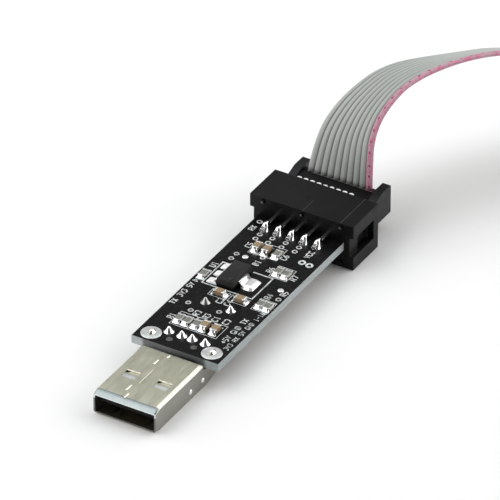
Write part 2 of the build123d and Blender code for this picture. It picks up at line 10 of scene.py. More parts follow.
import bmesh
import bpy
from mathutils import Matrix, Vector, noise
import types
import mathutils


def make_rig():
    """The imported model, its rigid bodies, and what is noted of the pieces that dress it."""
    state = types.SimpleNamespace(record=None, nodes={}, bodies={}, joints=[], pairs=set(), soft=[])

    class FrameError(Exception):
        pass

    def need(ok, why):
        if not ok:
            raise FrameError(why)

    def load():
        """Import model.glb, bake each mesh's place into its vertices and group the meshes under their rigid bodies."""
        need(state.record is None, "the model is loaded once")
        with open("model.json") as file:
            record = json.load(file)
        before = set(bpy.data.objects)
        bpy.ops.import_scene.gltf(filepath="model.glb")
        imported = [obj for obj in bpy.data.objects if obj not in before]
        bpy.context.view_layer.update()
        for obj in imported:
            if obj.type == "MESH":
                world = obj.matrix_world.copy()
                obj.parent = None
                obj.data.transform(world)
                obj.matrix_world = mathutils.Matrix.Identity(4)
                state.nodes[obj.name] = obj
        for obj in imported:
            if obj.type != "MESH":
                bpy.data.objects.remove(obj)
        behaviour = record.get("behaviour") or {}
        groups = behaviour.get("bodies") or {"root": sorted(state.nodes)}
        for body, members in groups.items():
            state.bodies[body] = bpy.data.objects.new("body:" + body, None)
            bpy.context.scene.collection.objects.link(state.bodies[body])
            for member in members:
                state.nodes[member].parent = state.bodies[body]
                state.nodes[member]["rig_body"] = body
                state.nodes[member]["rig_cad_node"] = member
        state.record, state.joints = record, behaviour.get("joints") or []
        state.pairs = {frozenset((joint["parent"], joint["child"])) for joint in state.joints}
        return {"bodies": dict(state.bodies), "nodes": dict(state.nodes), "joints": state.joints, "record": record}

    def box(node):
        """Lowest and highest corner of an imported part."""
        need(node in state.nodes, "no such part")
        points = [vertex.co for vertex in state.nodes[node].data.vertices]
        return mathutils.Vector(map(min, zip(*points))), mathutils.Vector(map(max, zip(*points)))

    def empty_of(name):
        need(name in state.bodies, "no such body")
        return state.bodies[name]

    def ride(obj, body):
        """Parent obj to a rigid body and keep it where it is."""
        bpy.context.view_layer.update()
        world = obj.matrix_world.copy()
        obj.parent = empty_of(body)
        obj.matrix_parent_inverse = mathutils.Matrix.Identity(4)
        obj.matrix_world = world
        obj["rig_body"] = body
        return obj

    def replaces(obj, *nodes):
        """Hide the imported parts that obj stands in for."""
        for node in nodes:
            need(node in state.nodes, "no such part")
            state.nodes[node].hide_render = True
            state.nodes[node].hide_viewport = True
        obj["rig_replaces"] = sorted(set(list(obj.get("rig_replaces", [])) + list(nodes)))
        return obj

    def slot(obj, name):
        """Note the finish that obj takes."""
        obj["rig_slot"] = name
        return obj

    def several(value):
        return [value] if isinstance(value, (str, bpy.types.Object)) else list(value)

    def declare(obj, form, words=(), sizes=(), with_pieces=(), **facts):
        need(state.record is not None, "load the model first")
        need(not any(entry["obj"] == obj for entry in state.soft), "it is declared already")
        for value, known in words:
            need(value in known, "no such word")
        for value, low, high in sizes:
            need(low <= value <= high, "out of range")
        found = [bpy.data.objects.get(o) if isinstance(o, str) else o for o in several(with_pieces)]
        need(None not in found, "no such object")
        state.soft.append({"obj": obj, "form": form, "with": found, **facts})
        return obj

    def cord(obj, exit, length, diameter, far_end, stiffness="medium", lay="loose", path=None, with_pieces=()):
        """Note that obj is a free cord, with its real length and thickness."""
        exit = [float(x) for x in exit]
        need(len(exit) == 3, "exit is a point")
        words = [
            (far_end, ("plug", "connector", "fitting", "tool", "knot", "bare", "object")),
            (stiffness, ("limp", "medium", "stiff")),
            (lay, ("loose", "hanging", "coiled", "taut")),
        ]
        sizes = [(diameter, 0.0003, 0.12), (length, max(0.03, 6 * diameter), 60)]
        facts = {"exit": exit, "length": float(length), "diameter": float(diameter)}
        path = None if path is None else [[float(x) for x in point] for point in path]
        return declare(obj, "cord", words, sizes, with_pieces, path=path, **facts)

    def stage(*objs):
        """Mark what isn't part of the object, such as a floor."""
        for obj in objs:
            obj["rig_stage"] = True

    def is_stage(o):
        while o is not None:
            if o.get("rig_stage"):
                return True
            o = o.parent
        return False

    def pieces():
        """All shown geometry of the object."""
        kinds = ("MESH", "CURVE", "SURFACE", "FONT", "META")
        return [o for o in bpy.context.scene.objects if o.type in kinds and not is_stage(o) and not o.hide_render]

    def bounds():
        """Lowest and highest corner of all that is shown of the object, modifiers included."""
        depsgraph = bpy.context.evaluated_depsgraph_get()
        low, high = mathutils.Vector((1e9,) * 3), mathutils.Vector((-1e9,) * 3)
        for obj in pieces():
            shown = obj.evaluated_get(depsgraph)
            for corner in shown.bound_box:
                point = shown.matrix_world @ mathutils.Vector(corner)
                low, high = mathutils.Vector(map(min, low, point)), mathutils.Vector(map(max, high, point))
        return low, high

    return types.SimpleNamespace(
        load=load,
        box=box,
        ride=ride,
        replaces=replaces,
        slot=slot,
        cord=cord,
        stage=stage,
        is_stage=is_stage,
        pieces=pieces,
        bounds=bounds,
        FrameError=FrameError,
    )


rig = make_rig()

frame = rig.load()
CAD_LOW, CAD_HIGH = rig.bounds()
MM = 0.001
PITCH = 2.54
COLUMNS = (-2, -1, 0, 1, 2)
SCENE = bpy.context.scene


def spot(node):
    """A CAD node's lowest and highest corners, in millimetres."""
    low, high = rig.box(node)
    return low / MM, high / MM


BOARD_LOW, BOARD_HIGH = spot("circuit_board")
TOP = BOARD_HIGH.z
UNDER = BOARD_LOW.z


# ---- the camera ----
TARGET = Vector((11.3, 4.3, 5.0))
CAMERA_AZIMUTH = -59.546
CAMERA_ELEVATION = 34.384
CAMERA_DISTANCE = 1347.5
CAMERA_ROLL = 0.19
CAMERA_LENS = 576.0


def toward(azimuth, elevation):
    """The direction from the object to a place that looks at it from that azimuth and elevation."""
    a, e = radians(azimuth), radians(elevation)
    return Vector((sin(a) * cos(e), -cos(a) * cos(e), sin(e)))


def facing(direction, roll=0.0):
    """The rotation of a camera or light that looks back along a direction."""
    right = Vector((0, 0, 1)).cross(direction).normalized()
    up = direction.cross(right)
    a = radians(roll)
    x = right * cos(a) + up * sin(a)
    y = up * cos(a) - right * sin(a)
    return Matrix((x, y, direction)).transposed().to_quaternion()


def put(name, data):
    """A new object in the scene that shows the data."""
    made = bpy.data.objects.new(name, data)
    SCENE.collection.objects.link(made)
    return made


def make_camera():
    data = bpy.data.cameras.new("camera")
    data.lens = CAMERA_LENS
    data.sensor_width = 36.0
    data.clip_start = 0.05
    data.clip_end = 20.0
    camera = put("camera", data)
    back = toward(CAMERA_AZIMUTH, CAMERA_ELEVATION)
    camera.location = (TARGET + back * CAMERA_DISTANCE) * MM
    camera.rotation_mode = "QUATERNION"
    camera.rotation_quaternion = facing(back, CAMERA_ROLL)
    SCENE.camera = camera


make_camera()


# ---- materials ----
class Paint:
    """A node material: a Principled shader with noise-driven colour, roughness and relief."""

    def __init__(self, name, **sockets):
        self.material = bpy.data.materials.new(name)
        self.material.use_nodes = True
        self.nodes = self.material.node_tree.nodes
        self.links = self.material.node_tree.links
        self.shader = self.nodes["Principled BSDF"]
        self.place = self.add("ShaderNodeTexCoord").outputs["Object"]
        self.relief = None
        for key, value in sockets.items():
            self.shader.inputs[key.replace("_", " ")].default_value = value

    def add(self, kind, inputs=None, **settings):
        node = self.nodes.new(kind)
        for key, value in settings.items():
            setattr(node, key, value)
        for key, value in (inputs or {}).items():
            self.set(node.inputs[key], value)
        return node

    def set(self, socket, value):
        if isinstance(value, bpy.types.NodeSocket):
            self.links.new(value, socket)
        else:
            socket.default_value = value

    def math(self, operation, a, b=0.0):
        return self.add("ShaderNodeMath", {0: a, 1: b}, operation=operation).outputs[0]

    def times(self, product, *factors):
        for factor in factors:
            product = self.math("MULTIPLY", product, factor)
        return product

    def away(self, value, centre):
        """How far a value is from a centre."""
        return self.math("ABSOLUTE", self.math("SUBTRACT", value, centre))

    def at(self, scale=(1, 1, 1), place=None, turn=(0, 0, 0)):
        inputs = {"Vector": place or self.place, "Scale": scale, "Rotation": turn}
        return self.add("ShaderNodeMapping", inputs).outputs[0]

    def noise(self, scale, detail=4.0, rough=0.55, place=None):
        inputs = {"Vector": place or self.place, "Scale": scale, "Detail": detail, "Roughness": rough}
        return self.add("ShaderNodeTexNoise", inputs).outputs[0]

    def ramp(self, factor, *stops):
        node = self.add("ShaderNodeValToRGB", {"Fac": factor})
        ends = node.color_ramp.elements
        while len(ends) < len(stops):
            ends.new(0.5)
        for end, (position, colour) in zip(ends, stops):
            end.position = position
            end.color = (*colour, 1)
        return node.outputs[0]

    def mix(self, factor, a, b):
        node = self.add("ShaderNodeMix", data_type="RGBA")
        for index, value in ((0, factor), (6, a), (7, b)):
            if isinstance(value, tuple) and len(value) == 3:
                value = (*value, 1)
            self.set(node.inputs[index], value)
        return node.outputs[2]

    def ease(self, value, start, end):
        """0 at the start value and 1 at the end value, with a smooth step between them."""
        step = self.add("ShaderNodeMapRange", {0: value, 1: start, 2: end}, interpolation_type="SMOOTHSTEP")
        return step.outputs[0]

    def band(self, value, low, high, soft):
        """1 between two values and 0 outside, with soft sides."""
        up = self.ease(value, low - soft, low + soft)
        return self.times(up, self.ease(value, high + soft, high - soft))

    def axis(self, which):
        return self.add("ShaderNodeSeparateXYZ", {0: self.place}).outputs[which]

    def colour(self, value):
        self.links.new(value, self.shader.inputs["Base Color"])

    def rough(self, low, high, scale, place=None):
        grain = self.noise(scale, 3.0, place=place)
        span = self.add("ShaderNodeMapRange", {0: grain, 1: 0.3, 2: 0.7, 3: low, 4: high})
        self.links.new(span.outputs[0], self.shader.inputs["Roughness"])

    def bump(self, height, depth, strength=1.0):
        """Relief of a depth in metres, on top of any there already."""
        node = self.add("ShaderNodeBump", {"Height": height, "Distance": depth, "Strength": strength})
        if self.relief:
            self.links.new(self.relief, node.inputs["Normal"])
        self.relief = node.outputs[0]
        self.links.new(self.relief, self.shader.inputs["Normal"])


def moulded(name, dark, light, rough=(0.4, 0.55), grain=0.000012, **sockets):
    """Injection-moulded plastic: faint mottling, a fine spark-eroded grain and slow flow marks."""
    p = Paint(name, **sockets)
    p.colour(p.ramp(p.noise(260, 6), (0.3, dark), (0.72, light)))
    p.rough(*rough, 900)
    p.bump(p.noise(5200, 3), grain)
    p.bump(p.noise(420, 2), grain * 2.5, 0.6)
    return p


def tinned(name, dark, light, rough=(0.1, 0.24), wave=0.00003, scale=900, metallic=1.0):
    """Solder or plated metal: bright, with slow ripples and slightly dull patches."""
    p = Paint(name, Metallic=metallic)
    p.colour(p.ramp(p.noise(1500, 5), (0.32, dark), (0.68, light)))
    p.rough(*rough, 1900)
    p.bump(p.noise(scale, 2), wave, 0.7)
    return p.material


def solder_mask():
    """Black resist over copper: traces and pours show as faint relief."""
    p = Paint("solder_mask", Specular_IOR_Level=0.14)
    runs = []
    for angle, scale, mortar, width, row in ((0, 330.0, 0.05, 2.3, 0.32), (45, 250.0, 0.06, 1.6, 0.4)):
        bricks = {"Vector": p.at(turn=(0, 0, radians(angle))), "Scale": scale, "Mortar Size": mortar,
                  "Mortar Smooth": 0.6, "Brick Width": width, "Row Height": row}
        runs.append(p.add("ShaderNodeTexBrick", bricks).outputs["Fac"])
    copper = p.mix(p.band(p.noise(170, 1), 0.5, 2.0, 0.01), *runs)
    tint = p.ramp(p.noise(700, 5), (0.3, (0.0032, 0.0034, 0.004)), (0.7, (0.0065, 0.0068, 0.0072)))
    p.colour(p.mix(copper, tint, (0.0028, 0.0028, 0.003)))
    p.rough(0.2, 0.32, 1400)
    p.bump(copper, 0.00002, 0.25)
    p.bump(p.noise(2600, 3), 0.000006, 0.5)
    return p.material


def board_edge():
    """The routed edge of glass laminate: pale, with the cloth's layers and a ragged cut, and dark
    where the plug's rear shades it.
    """
    p = Paint("board_edge", Specular_IOR_Level=0.4)
    layers = p.noise(1500, 5, place=p.at((0.25, 0.25, 5.0)))
    chips = p.noise(2600, 5, 0.7)
    base = p.ramp(layers, (0.3, (0.27, 0.3, 0.305)), (0.7, (0.45, 0.485, 0.49)))
    base = p.mix(p.band(chips, 0.62, 2.0, 0.03), base, (0.24, 0.265, 0.265))
    behind_plug = p.band(p.axis(1), -0.0058, 0.0062, 0.0004)
    front = p.band(p.axis(0), -1.0, (BOARD_LOW.x + 0.05) * MM, 0.00002)
    p.colour(p.mix(p.times(behind_plug, front, 0.85), base, (0.07, 0.073, 0.074)))
    p.rough(0.5, 0.75, 1800)
    p.bump(layers, 0.00004)
    p.bump(chips, 0.00006, 0.7)
    return p.material


def printed_ink():
    """White legend ink, worn thin in places."""
    p = Paint("legend_ink", Specular_IOR_Level=0.3)
    p.colour(p.ramp(p.noise(2400, 4), (0.36, (0.36, 0.38, 0.39)), (0.58, (0.72, 0.74, 0.74))))
    p.rough(0.5, 0.7, 2500)
    p.bump(p.noise(5200, 3), 0.00001)
    return p.material


def shell_plate(name, dark, light, rubbed, rough=(0.26, 0.38), glint_band=None):
    """Nickel-plated sheet: a soft satin with drawn scratches and slow dents.

    The last argument gives a bend with a painted highlight, bright and matt: its two sides across, then its ends along
    X.
    """
    p = Paint(name, Metallic=1.0)
    cloud = p.noise(190, 5)
    fine = p.noise(1500, 5, place=p.at((0.12, 1.4, 1.4)))
    plate = p.ramp(cloud, (0.3, dark), (0.7, light))
    base = p.mix(p.times(fine, 0.35), plate, rubbed)
    # painted highlight: the bend is painted cream-white and less metallic where the light catches it
    if glint_band:
        across = p.band(p.axis(1), glint_band[0], glint_band[1], 0.00005)
        high = p.band(p.axis(2), 0.0042, 1, 0.0001)
        bend = p.times(across, high, p.band(p.axis(0), glint_band[2], glint_band[3], 0.0002))
        base = p.mix(bend, base, (1.0, 0.97, 0.86))
        p.set(p.shader.inputs["Metallic"], p.math("SUBTRACT", 1.0, p.times(bend, 0.9)))
    p.colour(base)
    p.rough(*rough, 1100, place=p.at((0.2, 1.2, 1.2)))
    p.bump(fine, 0.000003, 0.6)
    p.bump(p.noise(160, 1), 0.00008, 0.5)
    return p.material


def ceramic(name, dark, light):
    """Fired ceramic: a matt, slightly speckled body."""
    p = Paint(name, Specular_IOR_Level=0.5)
    p.colour(p.ramp(p.noise(4200, 5), (0.3, dark), (0.7, light)))
    p.rough(0.32, 0.5, 3000)
    p.bump(p.noise(5200, 3), 0.000014, 0.6)
    return p.material


def cable_jacket(name, low, high, speck=None):
    """Soft PVC: a satin skin with long extrusion marks.

    Speck gives the two colours of the mottling and of the dots that mark the first core. Without
    it, painted shade darkens the grooves between the cores.
    """
    p = Paint(name, Specular_IOR_Level=0.42, Sheen_Weight=0.05)
    run = p.add("ShaderNodeUVMap", uv_map="run").outputs[0]
    drawn = p.noise(1.0, 4, place=p.at((0.06, 5.0, 1), run))
    base = p.ramp(drawn, (0.3, low), (0.7, high))
    parts = p.add("ShaderNodeSeparateXYZ", {0: run})
    if not speck:
        # painted shade: the grooves between the cores are darkened
        edge = p.away(p.math("FRACT", parts.outputs[1]), 0.5)
        base = p.mix(p.times(p.band(edge, 0.4, 2.0, 0.07), 0.62), base, (0.1, 0.11, 0.105))
    else:
        wander = p.noise(0.35, 2, place=run)
        along = p.math("ADD", parts.outputs[0], p.times(wander, 0.8))
        step = p.away(p.math("FRACT", p.math("DIVIDE", along, 2.05)), 0.5)
        side = p.away(parts.outputs[1], 0.62)
        offset = p.add("ShaderNodeCombineXYZ", {0: p.times(step, 2.9), 1: p.times(side, 2.6)}).outputs[0]
        distance = p.add("ShaderNodeVectorMath", {0: offset}, operation="LENGTH").outputs["Value"]
        ragged = p.math("ADD", distance, p.times(p.noise(3.0, 3, place=run), 0.35))
        mottle = p.band(p.noise(2.2, 4, 0.7, place=p.at((0.7, 1.2, 1), run)), 0.54, 2.0, 0.05)
        base = p.mix(p.times(mottle, 0.7), base, speck[0])
        base = p.mix(p.ease(ragged, 0.62, 0.45), base, speck[1])
    p.colour(base)
    p.rough(0.38, 0.52, 900)
    p.bump(drawn, 0.00001, 0.5)
    p.bump(p.noise(2600, 3), 0.000012, 0.5)
    return p.material


def header_plastic():
    """The header's black nylon, with a fine dark line and two fine pale lines drawn along its top."""
    p = moulded("header_nylon", (0.0024, 0.0027, 0.0025), (0.0048, 0.0053, 0.005), (0.32, 0.44),
                Specular_IOR_Level=0.16)
    on_top = p.band(p.axis(2), 0.0088, 0.1, 0.00001)
    left, right, short = [p.times(on_top, p.band(p.axis(1), low, high, 0.00004)) for low, high in
                          ((0.00755, 0.00765), (-0.00764, -0.00756), (-0.00029, -0.00021))]
    short = p.times(short, p.band(p.axis(0), 0.0, HEADER_PANEL * MM, 0.0002))
    base = p.shader.inputs["Base Color"].links[0].from_socket
    base = p.mix(p.times(left, 0.8), base, (0.001, 0.001, 0.001))
    pale = (0.075, 0.082, 0.08)
    base = p.mix(p.times(right, 0.75), base, pale)
    p.colour(p.mix(p.times(short, 0.8), base, pale))
    p.bump(right, 0.00004)
    return p.material


# Where the plug's right top bend gets a painted highlight, in metres: across it, and from behind the mouth to the
# rear.
PLUG_BEND_GLINT = (-0.0062, -0.00525, spot("usb_shell")[0].x * MM + 0.0013, BOARD_LOW.x * MM - 0.0009)
# How far towards the header's mouth its short pale middle line runs.
HEADER_PANEL = spot("header_housing")[0].x + 3.9
MASK = solder_mask()
EDGE = board_edge()
INK = printed_ink()
PLATE = shell_plate("plug_plate", (0.6, 0.59, 0.475), (0.69, 0.68, 0.56), (0.78, 0.77, 0.68),
                    glint_band=PLUG_BEND_GLINT)
# Copies of the same plate, painted for how light falls: the mouth's top darker and bluish (painted shade and a painted
# reflection), a pale bluish one as a painted highlight, and darker side walls and a dark lower rim as painted shade.
SHADED_MOUTH_PLATE = shell_plate("plug_shaded_mouth_plate", (0.24, 0.26, 0.262), (0.31, 0.335, 0.338),
                          (0.35, 0.375, 0.378))
BLUE_LIT_PLATE = shell_plate("plug_blue_lit_plate", (0.7, 0.76, 0.775), (0.82, 0.88, 0.89), (0.88, 0.93, 0.94))
SHADED_SIDE_PLATE = shell_plate("plug_shaded_side_plate", (0.27, 0.262, 0.235), (0.35, 0.34, 0.31), (0.42, 0.41, 0.37),
                         (0.34, 0.48))
SHADED_RIM = shell_plate("plug_shaded_rim", (0.1, 0.1, 0.105), (0.2, 0.2, 0.21), (0.26, 0.26, 0.27), (0.4, 0.5))
# A brighter copy of the plate: a painted highlight on the seam's keys and on the windows' rear ridges.
LIT_RIDGE = shell_plate("plug_lit_ridge", (0.84, 0.81, 0.68), (0.93, 0.91, 0.8), (0.96, 0.95, 0.88), (0.4, 0.5))
SOLDER = tinned("bright_solder", (0.86, 0.87, 0.88), (0.97, 0.97, 0.97), (0.06, 0.14), 0.00004, 800)
JOINT = tinned("header_joint", (0.86, 0.87, 0.88), (0.97, 0.97, 0.97), (0.09, 0.16), 0.00001, 700)
FLOWED = tinned("flowed_tin", (0.84, 0.83, 0.84), (0.95, 0.94, 0.95), (0.16, 0.3), 0.00003, 900, 0.6)
PAD = tinned("tinned_pad", (0.58, 0.59, 0.59), (0.72, 0.73, 0.72), (0.3, 0.45), 0.00003, 1600, 0.75)
RING = tinned("via_ring", (0.45, 0.46, 0.46), (0.62, 0.63, 0.62), (0.3, 0.45), 0.00003, 1600, 0.75)
LEAD = tinned("lead_tin", (0.86, 0.855, 0.86), (0.95, 0.945, 0.95), (0.3, 0.42), 0.00003, 900, 0.3)
TIN = tinned("tin_plate", (0.6, 0.61, 0.61), (0.75, 0.75, 0.74), (0.16, 0.3), 0.00001, 1500)
DULL = tinned("dull_solder", (0.3, 0.31, 0.31), (0.5, 0.5, 0.5), (0.2, 0.34), 0.00004, 900)
PIN = tinned("header_pin", (0.45, 0.46, 0.46), (0.62, 0.62, 0.61), (0.18, 0.28), 0.00001, 1200)
GOLD = tinned("contact_gold", (0.72, 0.5, 0.2), (0.85, 0.64, 0.3), (0.16, 0.3), 0.00001, 1500)
CAN = tinned("crystal_can", (0.55, 0.55, 0.54), (0.7, 0.7, 0.68), (0.2, 0.36), 0.00002, 700)
COPPER = tinned("plated_wall", (0.5, 0.45, 0.36), (0.66, 0.62, 0.52), (0.3, 0.45), 0.00002, 2200)
NYLON = header_plastic()
PBT = moulded("socket_pbt", (0.002, 0.0021, 0.0023), (0.0046, 0.0049, 0.0052), (0.32, 0.44),
              Specular_IOR_Level=0.18).material
CLIP = moulded("relief_nylon", (0.0032, 0.0035, 0.0038), (0.0075, 0.0082, 0.009), (0.32, 0.44),
               Specular_IOR_Level=0.24).material
INSULATOR = moulded("plug_insulator", (0.0015, 0.0015, 0.0015), (0.004, 0.004, 0.004), (0.45, 0.6),
                    Specular_IOR_Level=0.15).material
# Lighter than the plastic: a painted glow where the shiny peg ends and the header's nubs catch the light.
PEG_PAINTED_GLOW = moulded("peg_end_painted_glow", (0.045, 0.046, 0.043), (0.1, 0.101, 0.095), (0.2, 0.3)).material
EPOXY = moulded("package_epoxy", (0.0075, 0.0079, 0.0068), (0.014, 0.0147, 0.013), (0.44, 0.58), 0.00002,
                Specular_IOR_Level=0.24).material
ALUMINA = ceramic("alumina", (0.62, 0.62, 0.58), (0.8, 0.8, 0.77))
GLAZE = ceramic("resistor_glaze", (0.09, 0.094, 0.082), (0.26, 0.27, 0.24))
TITANATE = ceramic("capacitor_ceramic", (0.2, 0.135, 0.075), (0.38, 0.27, 0.16))
LAMP_BASE = moulded("lamp_base", (0.6, 0.6, 0.56), (0.74, 0.74, 0.7), (0.4, 0.55)).material
LAMP_RESIN = moulded("lamp_resin", (0.62, 0.64, 0.55), (0.75, 0.76, 0.66), (0.1, 0.2), 0.000006,
                     Transmission_Weight=0.55, IOR=1.5).material
GREY = cable_jacket("jacket_grey", (0.31, 0.325, 0.31), (0.4, 0.415, 0.4))
PINK = cable_jacket("jacket_pink", (0.4, 0.2, 0.27), (0.52, 0.34, 0.4),
                    ((0.58, 0.08, 0.2), (0.3, 0.02, 0.07)))
# The jacket's cut ends: whitish, as a painted highlight on the grey PVC.
CUT_END_HIGHLIGHT = ceramic("jacket_cut_highlight", (0.8, 0.81, 0.8), (0.95, 0.96, 0.96))


# ---- mesh helpers: all in millimetres ----
def place_piece(name, bm, materials, slot, replaces=(), body="programmer", normals=True):
    """Turn a bmesh into a piece that rides on a body and takes its finish from a slot."""
    if normals:
        bmesh.ops.recalc_face_normals(bm, faces=bm.faces)
    bmesh.ops.scale(bm, vec=(MM, MM, MM), verts=bm.verts)
    mesh = bpy.data.meshes.new(name)
    bm.to_mesh(mesh)
    bm.free()
    for material in materials:
        mesh.materials.append(material)
    piece = put(name, mesh)
    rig.ride(piece, body)
    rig.slot(piece, slot)
    if replaces:
        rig.replaces(piece, *replaces)
    return piece


def skin(bm, rings, index=0, caps=(True, True), closed=True, place=None, smooth=True):
    """Join rings of points, in order, with quads, and cap the two ends."""
    made = [[bm.verts.new(place @ Vector(p) if place else p) for p in ring] for ring in rings]
    count = len(made[0])
    for a, b in zip(made, made[1:]):
        for i in range(count if closed else count - 1):
            j = (i + 1) % count
            face = bm.faces.new((a[i], a[j], b[j], b[i]))
            face.material_index = index
            face.smooth = smooth
    for wanted, ring in zip(caps, (made[0], made[-1])):
        if wanted:
            face = bm.faces.new(ring)
            face.material_index = index
            face.smooth = smooth
    return made


def spin(degrees, axis="Z"):
    return Matrix.Rotation(radians(degrees), 4, axis)


def cut_across(bm, point, normal, near=0.0001):
    """Cut whatever a plane crosses, and return what then lies on it."""
    geometry = bm.verts[:] + bm.edges[:] + bm.faces[:]
    return bmesh.ops.bisect_plane(bm, geom=geometry, plane_co=point, plane_no=normal, dist=near)["geom_cut"]


def sheet(bm, rows, columns, at, index, place):
    """An open skin over a grid, from a function of the share along it and the place across, -1 to 1."""
    grid = [[at(row / rows, 2 * column / columns - 1) for column in range(columns + 1)]
            for row in range(rows + 1)]
    skin(bm, grid, index, (False, False), closed=False, place=place)


def rounded_ring(x, y, radius, z, steps=3):
    """A rectangle with rounded corners, at a height."""
    corners = ((x[1], y[1], 0, -1, -1), (x[0], y[1], 90, 1, -1),
               (x[0], y[0], 180, 1, 1), (x[1], y[0], 270, -1, 1))
    points = []
    for cx, cy, start, sx, sy in corners:
        for step in range(steps + 1):
            a = radians(start + 90 * step / steps)
            points.append((cx + sx * radius + radius * cos(a), cy + sy * radius + radius * sin(a), z))
    return points


def rounded_block(bm, x, y, z, radius, index=0, place=None):
    """A block with every edge rounded."""
    rings = []
    for step in range(4):
        a = radians(30 * step)
        rings.append((radius * (1 - sin(a)), z[0] + radius * (1 - cos(a))))
    for step in range(4):
        a = radians(90 - 30 * step)
        rings.append((radius * (1 - sin(a)), z[1] - radius * (1 - cos(a))))
    made = []
    for inset, height in rings:
        across, along = (x[0] + inset, x[1] - inset), (y[0] + inset, y[1] - inset)
        made.append(rounded_ring(across, along, max(radius - inset, radius * 0.05), height))
    skin(bm, made, index, place=place)


def turned(bm, profile, centre, index=0, steps=32, place=None, stretch=(1, 1)):
    """A turned shape from pairs of radius and height, about an upright axis."""
    rings = []
    for radius, height in profile:
        ring = []
        for step in range(steps):
            a = 2 * pi * step / steps
            x, y = radius * cos(a) * stretch[0], radius * sin(a) * stretch[1]
            ring.append((centre[0] + x, centre[1] + y, centre[2] + height))
        rings.append(ring)
    skin(bm, rings, index, place=place)


def soften(points, rounds=2, share=0.25):
    """Cut the corners of an open run of points, keeping its ends."""
    for _ in range(rounds):
        cut = [points[0]]
        for a, b in zip(points, points[1:]):
            a, b = Vector(a), Vector(b)
            cut += [a.lerp(b, share), a.lerp(b, 1 - share)]
        points = cut[:1] + cut[2:-1] + [Vector(points[-1])]
    return [Vector(p) for p in points]


def bent_strip(bm, path, width, thickness, index=0, place=None, edge=0.04):
    """Sheet metal bent along a path of x and z, with slightly rounded long edges."""
    path = soften([(x, 0, z) for x, z in path])
    half, t = width / 2, thickness / 2
    section = ((half - edge, t), (half, t - edge), (half, -t + edge), (half - edge, -t),
               (-half + edge, -t), (-half, -t + edge), (-half, t - edge), (-half + edge, t))
    rings = []
    for i, point in enumerate(path):
        before, after = path[max(i - 1, 0)], path[min(i + 1, len(path) - 1)]
        along = (after - before).normalized()
        normal = Vector((-along.z, 0, along.x))
        rings.append([point + Vector((0, y, 0)) + normal * n for y, n in section])
    skin(bm, rings, index, place=place)


def islands(node):
    """The separate solids of a CAD node, each as its lowest and highest corner in millimetres."""
    bm = bmesh.new()
    bm.from_mesh(frame["nodes"][node].data)
    bmesh.ops.remove_doubles(bm, verts=bm.verts, dist=2e-6)
    left = set(bm.verts)
    found = []
    while left:
        group = []
        queue = [left.pop()]
        while queue:
            vert = queue.pop()
            group.append(vert.co / MM)
            for edge in vert.link_edges:
                other = edge.other_vert(vert)
                if other in left:
                    left.remove(other)
                    queue.append(other)
        low = Vector([min(co[i] for co in group) for i in range(3)])
        high = Vector([max(co[i] for co in group) for i in range(3)])
        found.append((low, high))
    bm.free()
    return sorted(found, key=lambda box: (round(box[0].x, 3), round(box[0].y, 3), round(box[0].z, 3)))


def middles(node):
    return [(low + high) / 2 for low, high in islands(node)]


def dressed(node, name, width, materials, slot, body="programmer", pick=None, shape=None, least=0.3,
            segments=3, angle=32.0, cuts=(), along=(1, 0, 0)):
    """A copy of a CAD node with its crisp edges broken, and its faces' materials picked by a rule.

    A flat face with holes is split through them at the cuts, places measured along one axis. Shape
    is a function that alters the node first. Edges shorter than least, or bent by less than the
    angle, stay as they are.
    """
    along = Vector(along)
    bm = bmesh.new()
    bm.from_mesh(frame["nodes"][node].data)
    bmesh.ops.remove_doubles(bm, verts=bm.verts, dist=2e-6)
    for cut in cuts:
        for part in cut_across(bm, along * cut * MM, along, 1e-6):
            if isinstance(part, bmesh.types.BMEdge):
                part.seam = True
    bmesh.ops.dissolve_limit(bm, angle_limit=radians(1.5), verts=bm.verts, edges=bm.edges, delimit={"SEAM"})
    bmesh.ops.scale(bm, vec=(1 / MM, 1 / MM, 1 / MM), verts=bm.verts)
    if shape:
        shape(bm)
    bm.normal_update()
    weight = bm.edges.layers.float.new("bevel_weight_edge")
    for edge in bm.edges:
        if len(edge.link_faces) == 2 and edge.calc_face_angle(0) > radians(angle):
            if edge.calc_length() > least:
                edge[weight] = 1.0
            else:
                edge.smooth = False
    for face in bm.faces:
        face.smooth = True
        face.material_index = pick(face) if pick else 0
    piece = place_piece(name + "_draft", bm, materials, slot, body=body, normals=False)
    bevel = piece.modifiers.new("bevel", "BEVEL")
    bevel.limit_method = "WEIGHT"
    bevel.width = width * MM
    bevel.segments = segments
    bevel.miter_outer = "MITER_ARC"
    weighted = piece.modifiers.new("normals", "WEIGHTED_NORMAL")
    weighted.keep_sharp = True
    bpy.context.view_layer.update()
    mesh = bpy.data.meshes.new_from_object(piece.evaluated_get(bpy.context.evaluated_depsgraph_get()))
    mesh.name = name
    piece.modifiers.clear()
    piece.data = mesh
    piece.name = name
    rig.replaces(piece, node)
    return piece


def dress_plain(node, material):
    """Give a CAD node that keeps its shape one of the materials here."""
    kept = frame["nodes"][node]
    kept.data.materials.clear()
    kept.data.materials.append(material)
    return kept


# ---- the ribbon lead, first of all ----
CORES = 10
CORE_PITCH = 1.27
RIBBON_WIDTH = 12.7
RIBBON_HALF = 0.45
WEB = 0.13

